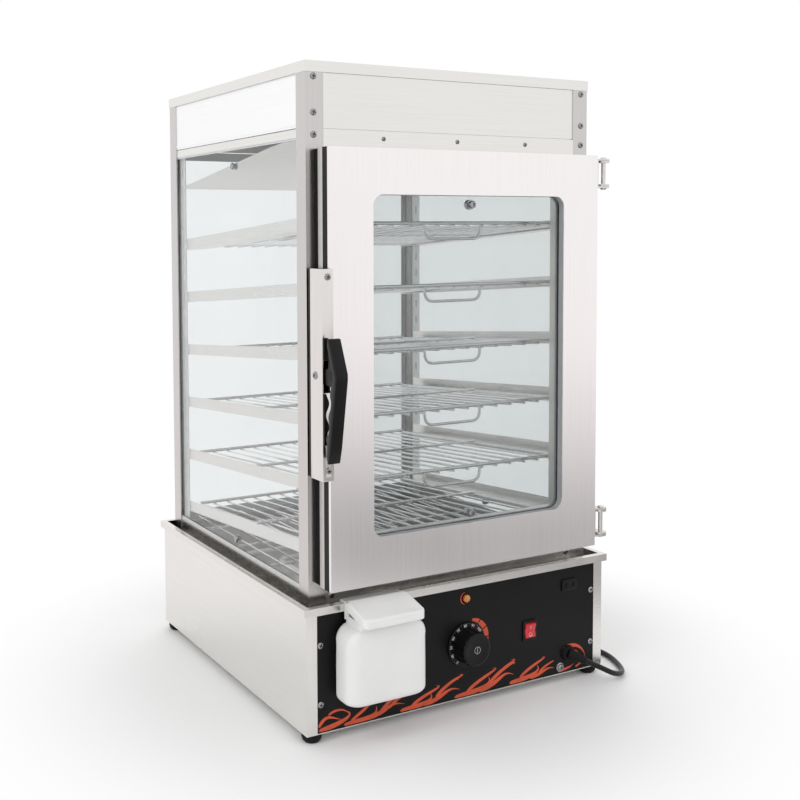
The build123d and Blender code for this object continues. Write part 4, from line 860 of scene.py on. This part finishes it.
def lick(start, start_way, end, end_way, width, lean=0.42):
    """Flame lick as (x, z) pairs of its two edges, pointed at both ends.

    Its middle line is the cubic (1-t)^3 a + 3 (1-t)^2 t b + 3 (1-t) t^2 c + t^3 d, where b and c lie
    from the ends a and d along the ways given, and half its width is w sin(pi t^lean) ^ 0.8.
    """
    t = np.linspace(0, 1, 41)[:, None]
    a, d = np.array(start), np.array(end)
    b, c = a + np.array(start_way), d - np.array(end_way)
    middle = (1 - t) ** 3 * a + 3 * (1 - t) ** 2 * t * b + 3 * (1 - t) * t ** 2 * c + t ** 3 * d
    way = np.gradient(middle, axis=0)
    way /= np.linalg.norm(way, axis=1)[:, None]
    side = np.stack((-way[:, 1], way[:, 0]), axis=1)
    half = width * np.sin(math.pi * t ** lean).clip(0.0, 1.0) ** 0.8 + 0.00003
    return list(zip(middle - side * half, middle + side * half))


# Flame border: start, way out, end, way in, half width; X along the panel and Z above its foot, in mm
LICKS = ((0, 2, 30, 4, 40, 30, -14, 10, 3.6), (0, 8, 10, 24, 34, 14, 16, -8, 2.6),
         (14, 26, 10, 10, 44, 22, 4, -12, 1.8), (36, 2, 34, 2, 84, 26, -4, 20, 3.6),
         (46, 6, 22, 18, 70, 38, -12, 0, 2.4), (66, 3, 40, 4, 128, 14, 26, -14, 3.4),
         (90, 10, 16, 20, 126, 30, 6, -10, 2.6), (104, 12, 10, 22, 134, 42, -16, 2, 2.4),
         (120, 2, 36, 2, 168, 24, -6, 16, 3.8), (138, 6, 18, 18, 176, 38, -18, 4, 2.6),
         (156, 2, 36, 6, 216, 16, 22, -14, 3.4), (176, 11, 16, 22, 212, 38, -4, -8, 2.8),
         (186, 20, 12, 20, 214, 50, -18, 2, 2.2), (206, 2, 38, 2, 262, 30, -10, 18, 4.0),
         (226, 6, 18, 22, 268, 46, -22, 0, 2.8), (246, 2, 38, 8, 306, 20, 20, -16, 3.6),
         (264, 12, 16, 24, 306, 44, -8, -10, 3.0), (278, 24, 10, 18, 300, 56, -20, 0, 2.2),
         (298, 3, 34, 2, 346, 30, -10, 16, 3.8), (316, 8, 14, 20, 354, 44, -20, -2, 2.6),
         (334, 3, 24, 4, 378, 12, 14, -8, 2.8), (350, 9, 8, 14, 374, 28, -10, -4, 2.0),
         (392, 44, 20, 14, 434, 22, 2, -20, 3.0), (398, 34, 14, 10, 424, 20, 0, -14, 1.8),
         (384, 2, 20, 4, 414, 13, 8, 8, 2.2), (416, 3, 10, 8, 438, 12, 8, 2, 1.8))

# The licks are drawn tall, and these set them low and long along the panel's foot
FLAME_START_RISE = 0.72
FLAME_END_RISE = 0.60
FLAME_END_LIFT = 1.0         # mm
FLAME_REACH = 1.10
FLAME_BEND = 0.70
FLAME_WIDTH = 0.86


class STEAMER_OT_panel_print(bpy.types.Operator):
    """Generic flame border along the panel's foot, and the orange heat arc beside the dial"""
    bl_idname = "steamer.panel_print"
    bl_label = "Panel print"

    def execute(self, context):
        vertices, faces = [], []
        left, right = PANEL_LOW[0] + 0.0015, PANEL_HIGH[0] - 0.0015
        foot = PANEL_LOW[2] + 0.0010
        layers = []

        def strip(pairs):
            start = len(vertices)
            y = PANEL_Y - 0.00006 - 0.000006 * len(layers)
            layers.append(start)
            for a, b in pairs:
                for px, pz in (a, b):
                    vertices.append((min(max(px, left), right), y, max(pz, foot)))
            for k in range(len(pairs) - 1):
                i = start + 2 * k
                faces.append((i, i + 1, i + 3, i + 2))

        for x0, z0, ax, az, x1, z1, bx, bz, width in LICKS:
            start = (left + x0 / 1000, foot + FLAME_START_RISE * z0 / 1000)
            end = (left + x1 / 1000, foot + (FLAME_END_RISE * z1 + FLAME_END_LIFT) / 1000)
            strip(lick(start, (FLAME_REACH * ax / 1000, FLAME_BEND * az / 1000),
                       end, (FLAME_REACH * bx / 1000, FLAME_BEND * bz / 1000),
                       FLAME_WIDTH * width / 1000))
        # heat arc: four blocks that widen towards the hot end, split by thin gaps
        for block in range(4):
            pairs = []
            for k in range(9):
                a = math.radians(72 - 22 * block - 19.5 * k / 8)
                grow = (block + k / 8) / 4
                inner, outer = 0.0316, 0.0330 + 0.0060 * math.sin(math.pi * (0.10 + 0.80 * grow))
                pairs.append(((KNOB_X + inner * math.cos(a), KNOB_Z + inner * math.sin(a)),
                              (KNOB_X + outer * math.cos(a), KNOB_Z + outer * math.sin(a))))
            strip(pairs)
        # half ring on the lamp's left
        pairs = []
        for k in range(17):
            a = math.radians(95 + 165 * k / 16)
            half = 0.0008 * math.sin(math.pi * k / 16) + 0.0001
            pairs.append(((LAMP_X + (0.0082 - half) * math.cos(a), LAMP_Z + (0.0082 - half) * math.sin(a)),
                          (LAMP_X + (0.0082 + half) * math.cos(a), LAMP_Z + (0.0082 + half) * math.sin(a))))
        strip(pairs)
        mesh_piece("panel_print", vertices, faces, material("orange_print"), "cabinet", smooth=False)
        return {"FINISHED"}


def screw_head(heads, recess_shade_bars, place, out, radius=0.0043, height=0.0018):
    """Pan head with a cross: a dome r(h) = R sqrt(1 - (h / H)^2) flattened, and two thin dark bars that paint
    the shade of the cross recess.
    """
    place, out = np.asarray(place, float), np.asarray(out, float)
    profile = [(0.0, radius * 0.98)]
    for k in range(7):
        h = k / 6
        profile.append((height * (0.25 + 0.75 * h), radius * math.sqrt(max(0.0, 1 - (0.80 * h) ** 2))))
    profile.append((height, 0.0001))
    heads.turned(profile, place, out, 28)
    u = np.cross(out, (0.31, 0.52, 0.79))
    u /= np.linalg.norm(u)
    v = np.cross(out, u)
    for way in (u, v):
        other = np.cross(out, way)
        corners = [(a, b) for a, b in ((-1, -1), (1, -1), (1, 1), (-1, 1))]
        rings = []
        for depth in (height - 0.0002, height + 0.00004):
            rings.append([place + out * depth + way * a * radius * 0.60 + other * b * radius * 0.15
                          for a, b in corners])
        recess_shade_bars.grid(rings)


class STEAMER_OT_screws(bpy.types.Operator):
    """Cross-head screws, the earth screw, the pivot screw and the door glass studs"""
    bl_idname = "steamer.screws"
    bl_label = "Screws and studs"

    def execute(self, context):
        heads, recess_shade_bars = Parts(), Parts()
        front, right = (0, -1, 0), (1, 0, 0)
        half = CAB_HALF
        for side in (-1, 1):
            for z in (0.8256, 0.7819, 0.7548):
                screw_head(heads, recess_shade_bars, (side * (half - 0.011), CAB_FRONT, z), front)
            for z in (0.124, 0.049):
                screw_head(heads, recess_shade_bars, (side * 0.220, PANEL_Y, z), front)
            screw_head(heads, recess_shade_bars, (side * (half - 0.033), CAB_FRONT, 0.178), front)
        for x in (-half / 2, 0.002, half / 2 + 0.0025):
            screw_head(heads, recess_shade_bars, (x, CAB_FRONT, 0.7525), front, 0.0030, 0.0014)
        for z in (0.2255, 0.7135):
            for dz in (-0.009, 0.009):
                screw_head(heads, recess_shade_bars, (half + 0.0025, CAB_FRONT + 0.008, z + dz), right)
        earth = (0.1645, PANEL_Y, 0.022)
        heads.turned([(0.0, 0.0063), (0.0002, 0.0065), (0.0008, 0.0065), (0.0010, 0.0062),
                      (0.0010, 0.0001)], earth, front, 32)
        screw_head(heads, recess_shade_bars, (0.1645, PANEL_Y - 0.001, 0.022), front, 0.0045, 0.0030)
        heads.piece("cross_head_screws", material("bright"), "cabinet", ("frame_screws",))
        # dark bars laid over the crosses: painted shade of the recesses
        recess_shade_bars.piece("cross_recess_shade", material("recess_shade"), "cabinet")

        heads, recess_shade_bars = Parts(), Parts()
        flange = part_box("latch_cover")[0]
        for z in (0.5815, 0.3457):
            screw_head(heads, recess_shade_bars, (-0.2175, flange[1], z), front, 0.0042, 0.0018)
        screw_head(heads, recess_shade_bars, (flange[0], CAB_FRONT - 0.0215, 0.461), (-1, 0, 0), 0.0048, 0.0019)
        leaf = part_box("hinge_door_leaves")[0][0] + 0.0022
        for z in (0.2255, 0.7135):
            for dz in (-0.009, 0.009):
                screw_head(heads, recess_shade_bars, (leaf, CAB_FRONT - 0.0275, z + dz), right)
        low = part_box("door_glass")[0]
        for z in (0.6695, 0.265):
            heads.turned([(-0.0056, 0.0001), (-0.0056, 0.0062), (-0.0040, 0.0065), (0.0, 0.0030),
                          (0.0, 0.0065), (0.0010, 0.0064), (0.0012, 0.0046), (0.0062, 0.0045),
                          (0.0070, 0.0038), (0.0070, 0.0024), (0.0050, 0.0022), (0.0050, 0.0001)],
                         (0.002, low[1], z), front, 32)
        heads.piece("door_screw_heads", material("bright"), "door", ("door_screws",))
        recess_shade_bars.piece("door_cross_recess_shade", material("recess_shade"), "door")
        return {"FINISHED"}


def extruded(outlines, name, material, body, width, replaced=()):
    """Plates cut to (y, z) outlines between two X, with every sharp edge bevelled by a width."""
    work = bmesh.new()
    for outline, x0, x1 in outlines:
        ends = [[work.verts.new((x, y, z)) for y, z in outline] for x in (x0, x1)]
        work.faces.new(ends[0])
        work.faces.new(ends[1][::-1])
        for k in range(len(outline)):
            after = (k + 1) % len(outline)
            work.faces.new((ends[0][after], ends[0][k], ends[1][k], ends[1][after]))
    bmesh.ops.recalc_face_normals(work, faces=work.faces)
    sharp = [edge for edge in work.edges if edge.calc_face_angle() > math.radians(24)]
    bmesh.ops.bevel(work, geom=sharp, offset=width, segments=2, profile=0.5, affect="EDGES",
                    clamp_overlap=True)
    mesh = bpy.data.meshes.new(name)
    work.to_mesh(mesh)
    work.free()
    mesh.shade_smooth()
    mesh.set_sharp_from_angle(angle=math.radians(30))
    mesh.materials.append(material)
    piece = bpy.data.objects.new(name, mesh)
    bpy.context.scene.collection.objects.link(piece)
    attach(piece, body)
    if replaced:
        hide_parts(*replaced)
    return piece


class STEAMER_OT_latch(bpy.types.Operator):
    """Latch cover, its black case, a painted reflection of the lever on the cover's flange, and the angular
    lever with finger grips
    """
    bl_idname = "steamer.latch"
    bl_label = "Latch and handle"

    def execute(self, context):
        softened("latch_cover", "latch_shield", material("sheet_upright"), "door", 0.0003)
        softened("cable_gland", "gland_and_boot", material("rubber"), "cabinet", 0.0008)
        pivot_y = CAB_FRONT - 0.0215
        low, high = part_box("door_handle")
        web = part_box("latch_hook")
        web_low, web_high = web[0][0] - 0.0007, web[1][0] + 0.0007

        def at(points):
            return [(pivot_y + y / 1000, z / 1000) for y, z in points]

        bar = at(((-32.5, 508.4), (-37.0, 508.0), (-54.0, 467.5), (-54.2, 460.0), (-39.6, 376.0),
                  (-34.6, 357.6), (-31.0, 357.6), (-31.2, 376.0), (-45.0, 460.0), (-45.0, 466.0),
                  (-31.5, 500.0)))
        heights = np.linspace(378, 448, 36)
        waves = -26.9 - (heights - 376) * 0.144 - 2.2 * (1 - np.cos(2 * math.pi * (heights - 386) / 28.5))
        grip = at(((-48.0, 459.0), (-33.5, 362.0), (-28.6, 361.0), (-26.9, 366.0))
                  + tuple(zip(waves, heights)) + ((-39.0, 452.0),))
        shank = at(((-34.0, 505.0), (-48.0, 468.0), (-48.0, 449.0), (-37.0, 449.8), (-20.0, 451.5),
                    (-2.0, 455.0), (-2.0, 467.0), (-20.0, 470.0), (-26.5, 472.0), (-29.6, 500.0)))
        extruded(((bar, low[0], high[0]), (grip, low[0] + 0.0009, high[0] - 0.0009),
                  (shank, web_low, web_high)),
                 "lever_handle", material("black_plastic"), "handle", 0.0006, ("door_handle",))
        boss = Parts()
        boss.turned([(0.0, 0.0001), (0.0, 0.0042), (0.0004, 0.0046), (0.0070, 0.0046), (0.0070, 0.0001)],
                    (low[0] + 0.0022, pivot_y - 0.0305, 0.3655), (1, 0, 0), 24)
        boss.piece("lever_boss", material("black_plastic"), "handle")
        self.case()
        return {"FINISHED"}

    def case(self):
        """Case under the cover, and a black strip on the flange, a painted reflection of the lever's wavy
        edge: its free edge is a + b cos(2 pi z / 27 mm).
        """
        low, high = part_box("latch_housing")
        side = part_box("latch_cover")[0]
        door_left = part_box("door_plate")[0][0]
        front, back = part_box("door_plate")[0][1], CAB_FRONT - 0.002
        bottom, top = low[2], high[2]
        gap_low, gap_high = 0.441, 0.481
        left = side[0] + 0.0012
        blocks = []
        for z0, z1 in ((bottom, gap_low), (gap_high, top)):
            blocks.append(([(front, z0), (back, z0), (back, z1), (front, z1)], left, door_left))
        cheeks = [(front, gap_low), (back, gap_low), (back, gap_high), (front, gap_high)]
        blocks.append((cheeks, left, left + 0.0013))
        blocks.append((cheeks, door_left - 0.0022, door_left))
        extruded(blocks, "latch_case", material("black_plastic"), "door", 0.0003, ("latch_housing",))
        # painted reflection: a black strip on the flange whose wavy edge copies the lever's grip
        flange = side[1]
        parts = Parts()
        for z0, z1, edge in ((0.378, 0.4405, 0.0052), (0.4815, 0.508, 0.0066)):
            heights = np.linspace(z0, z1, 30)
            swing = 0.0022 if z0 < 0.4 else 0.0004
            rings = []
            for z in heights:
                x = side[0] + edge - swing * math.cos(2 * math.pi * (z - 0.386) / 0.0285)
                x0 = side[0] + 0.0002
                rings.append([(x0, flange, z), (x, flange, z), (x, flange - 0.0028, z),
                              (x - 0.0004, flange - 0.0032, z), (x0 + 0.0004, flange - 0.0032, z),
                              (x0, flange - 0.0028, z)])
            parts.grid(rings)
        parts.piece("handle_reflection_strip", material("black_plastic"), "door")


class STEAMER_OT_water_box(bpy.types.Operator):
    """Blow-moulded white box with a soft shoulder, its neck and hook, and its sloping lid"""
    bl_idname = "steamer.water_box"
    bl_label = "Water box"

    def execute(self, context):
        self.body()
        self.lid()
        return {"FINISHED"}

    def body(self):
        """Rounded rectangles stacked from the base up, over the neck's edge and down inside."""
        front, back = BOX_LOW[1], BASE_FRONT - 0.001
        mid, half_y = (front + back) / 2, (back - front) / 2
        neck_back = BASE_FRONT - 0.0054
        neck_mid, neck_half_y = (front + neck_back) / 2 + 0.0005, (neck_back - front) / 2 - 0.0005
        base, wall = BOX_LOW[2], 0.002
        stations = []
        for k in range(9):
            a = math.pi / 2 * k / 8
            inset = 0.012 * (1 - math.sin(a))
            stations.append((base + 0.010 * (1 - math.cos(a)), 0.058 - inset, mid,
                             half_y - inset * 0.8, 0.015))
        stations.append((base + 0.045, 0.058, mid, half_y, 0.015))
        stations.append((base + 0.074, 0.0576, mid, half_y, 0.015))
        for k in range(1, 9):
            s = k / 8
            drop = s * s * (3 - 2 * s)
            stations.append((base + 0.076 + 0.020 * math.sin(math.pi / 2 * s) ** 1.1,
                             0.0576 - 0.0156 * (1 - math.cos(math.pi / 2 * s)),
                             mid + (neck_mid - mid) * drop, half_y + (neck_half_y - half_y) * drop,
                             0.014 - 0.008 * s))
        stations.append((base + 0.1065, 0.042, neck_mid, neck_half_y, 0.005))
        outer = list(stations)
        rings = [self.ring(*outer[0][:1], 0.001, outer[0][2], 0.001, 0.0009)]
        rings += [self.ring(*station) for station in outer]
        inner = [(z + (wall if k < 12 else 0.0), hx - wall, my, hy - wall, max(0.001, r - wall))
                 for k, (z, hx, my, hy, r) in enumerate(outer)]
        rings += [self.ring(*station) for station in reversed(inner)]
        rings.append(self.ring(inner[0][0], 0.001, inner[0][2], 0.001, 0.0009))
        parts = Parts()
        parts.grid(rings)
        neck_top = base + 0.1065
        hook_top = RIM_TOP + 0.0003 + 0.0024
        strap = [(neck_back - 0.002, neck_top - 0.006), (neck_back - 0.002, hook_top - 0.0008),
                 (neck_back - 0.0012, hook_top), (HOOK_Y + 0.0012, hook_top),
                 (HOOK_Y + 0.002, hook_top - 0.0008),
                 (HOOK_Y + 0.002, hook_top - 0.0084), (HOOK_Y + 0.001, hook_top - 0.0087),
                 (HOOK_Y, hook_top - 0.0084), (HOOK_Y, hook_top - 0.0027),
                 (HOOK_Y - 0.0005, hook_top - 0.0023),
                 (neck_back + 0.0003, hook_top - 0.0023), (neck_back, hook_top - 0.0027),
                 (neck_back, neck_top - 0.006)]
        parts.grid([[(x, y, z) for y, z in strap] for x in (BOX_X - 0.042, BOX_X - 0.014, BOX_X + 0.014,
                                                          BOX_X + 0.042)])
        axis_y = BASE_FRONT - 0.013
        ear = [(axis_y + 0.0022 * math.cos(a), 0.1745 + 0.0022 * math.sin(a))
               for a in np.linspace(math.pi / 2, math.pi, 6)]
        ear += [(axis_y - 0.0022, neck_top - 0.001), (neck_back - 0.0015, neck_top - 0.001),
                (neck_back - 0.0015, 0.1745), (axis_y + 0.001, 0.1745 + 0.0019)]
        for side in (-1, 1):
            parts.grid([[(BOX_X + side * x, y, z) for y, z in ear] for x in (0.0392, 0.0419)])
        parts.piece("bottle", material("white"), "box", ("water_box",))

    def ring(self, z, half_x, mid_y, half_y, radius):
        """One level rounded rectangle of the box."""
        return [(BOX_X + x, mid_y + y, z) for x, y in rounded_rectangle(half_x, half_y, radius)]

    def lid(self):
        """Lid on its slope: rounded rectangles from the top's middle out, down the skirt and back in."""
        low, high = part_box("water_box_lid")
        y0, y1 = low[1], high[1]
        top0, top1 = 0.1675, high[2]
        mid, half_y = (y0 + y1) / 2, (y1 - y0) / 2

        def ring(drop, half_x, deep, radius):
            level = []
            for x, y in rounded_rectangle(half_x, deep, radius):
                s = (y + half_y) / (2 * half_y)
                level.append((BOX_X + x, mid + y, top0 + (top1 - top0) * s - drop))
            return level

        half_x = (high[0] - low[0]) / 2
        rings = [ring(0.0005, 0.001, 0.001, 0.0009), ring(0.0004, half_x - 0.006, half_y - 0.006, 0.004),
                 ring(0.0001, half_x - 0.0034, half_y - 0.0034, 0.004),
                 ring(0.0, half_x - 0.0026, half_y - 0.0026, 0.005),
                 ring(0.0003, half_x - 0.0012, half_y - 0.0012, 0.006),
                 ring(0.0012, half_x - 0.0002, half_y - 0.0002, 0.007),
                 ring(0.0024, half_x, half_y, 0.007), ring(0.0100, half_x, half_y, 0.007),
                 ring(0.0106, half_x, half_y, 0.007), ring(0.0112, half_x - 0.0004, half_y - 0.0004, 0.007),
                 ring(0.0112, half_x - 0.0016, half_y - 0.0016, 0.006),
                 ring(0.0104, half_x - 0.0021, half_y - 0.0021, 0.005),
                 ring(0.0026, half_x - 0.0022, half_y - 0.0022, 0.005),
                 ring(0.0022, half_x - 0.0028, half_y - 0.0028, 0.004),
                 ring(0.0022, 0.001, 0.001, 0.0009)]
        parts = Parts()
        parts.grid(rings)
        parts.turned([(-0.0004, 0.0013), (0.0001, 0.0013), (0.0003, 0.0009), (0.0003, 0.0001)],
                     (BOX_X + 0.004, mid + 0.006, (top0 + top1) / 2 + 0.0012), (0, -0.247, 0.969), 20)
        parts.piece("bottle_lid", material("white"), "box_lid", ("water_box_lid",))


class STEAMER_PT_panel(bpy.types.Panel):
    """Sidebar list of the cabinet's pieces"""
    bl_idname = "STEAMER_PT_panel"
    bl_label = "Bun steamer cabinet"
    bl_space_type = "VIEW_3D"
    bl_region_type = "UI"
    bl_category = "Steamer"

    def draw(self, context):
        for group in (context.scene.steamer_stage, context.scene.steamer):
            for name in group.__annotations__:
                self.layout.prop(group, name)
        for operator in OPERATORS:
            self.layout.operator(operator.bl_idname)


OPERATORS = (STEAMER_OT_stage, STEAMER_OT_mains_lead, STEAMER_OT_sheet_metal, STEAMER_OT_glazing,
             STEAMER_OT_shelves, STEAMER_OT_controls, STEAMER_OT_panel_print, STEAMER_OT_screws,
             STEAMER_OT_latch, STEAMER_OT_water_box)
CLASSES = (StageSettings, SteamerSettings, *OPERATORS, STEAMER_PT_panel)


def register():
    for item in CLASSES:
        bpy.utils.register_class(item)
    bpy.types.Scene.steamer_stage = bpy.props.PointerProperty(type=StageSettings)
    bpy.types.Scene.steamer = bpy.props.PointerProperty(type=SteamerSettings)


def unregister():
    del bpy.types.Scene.steamer
    del bpy.types.Scene.steamer_stage
    for item in reversed(CLASSES):
        bpy.utils.unregister_class(item)


def main():
    register()
    bpy.ops.steamer.stage()
    bpy.ops.steamer.mains_lead()
    bpy.ops.steamer.sheet_metal()
    bpy.ops.steamer.glazing()
    bpy.ops.steamer.shelves()
    bpy.ops.steamer.controls()
    bpy.ops.steamer.panel_print()
    bpy.ops.steamer.screws()
    bpy.ops.steamer.latch()
    bpy.ops.steamer.water_box()


if __name__ == "__main__":
    main()
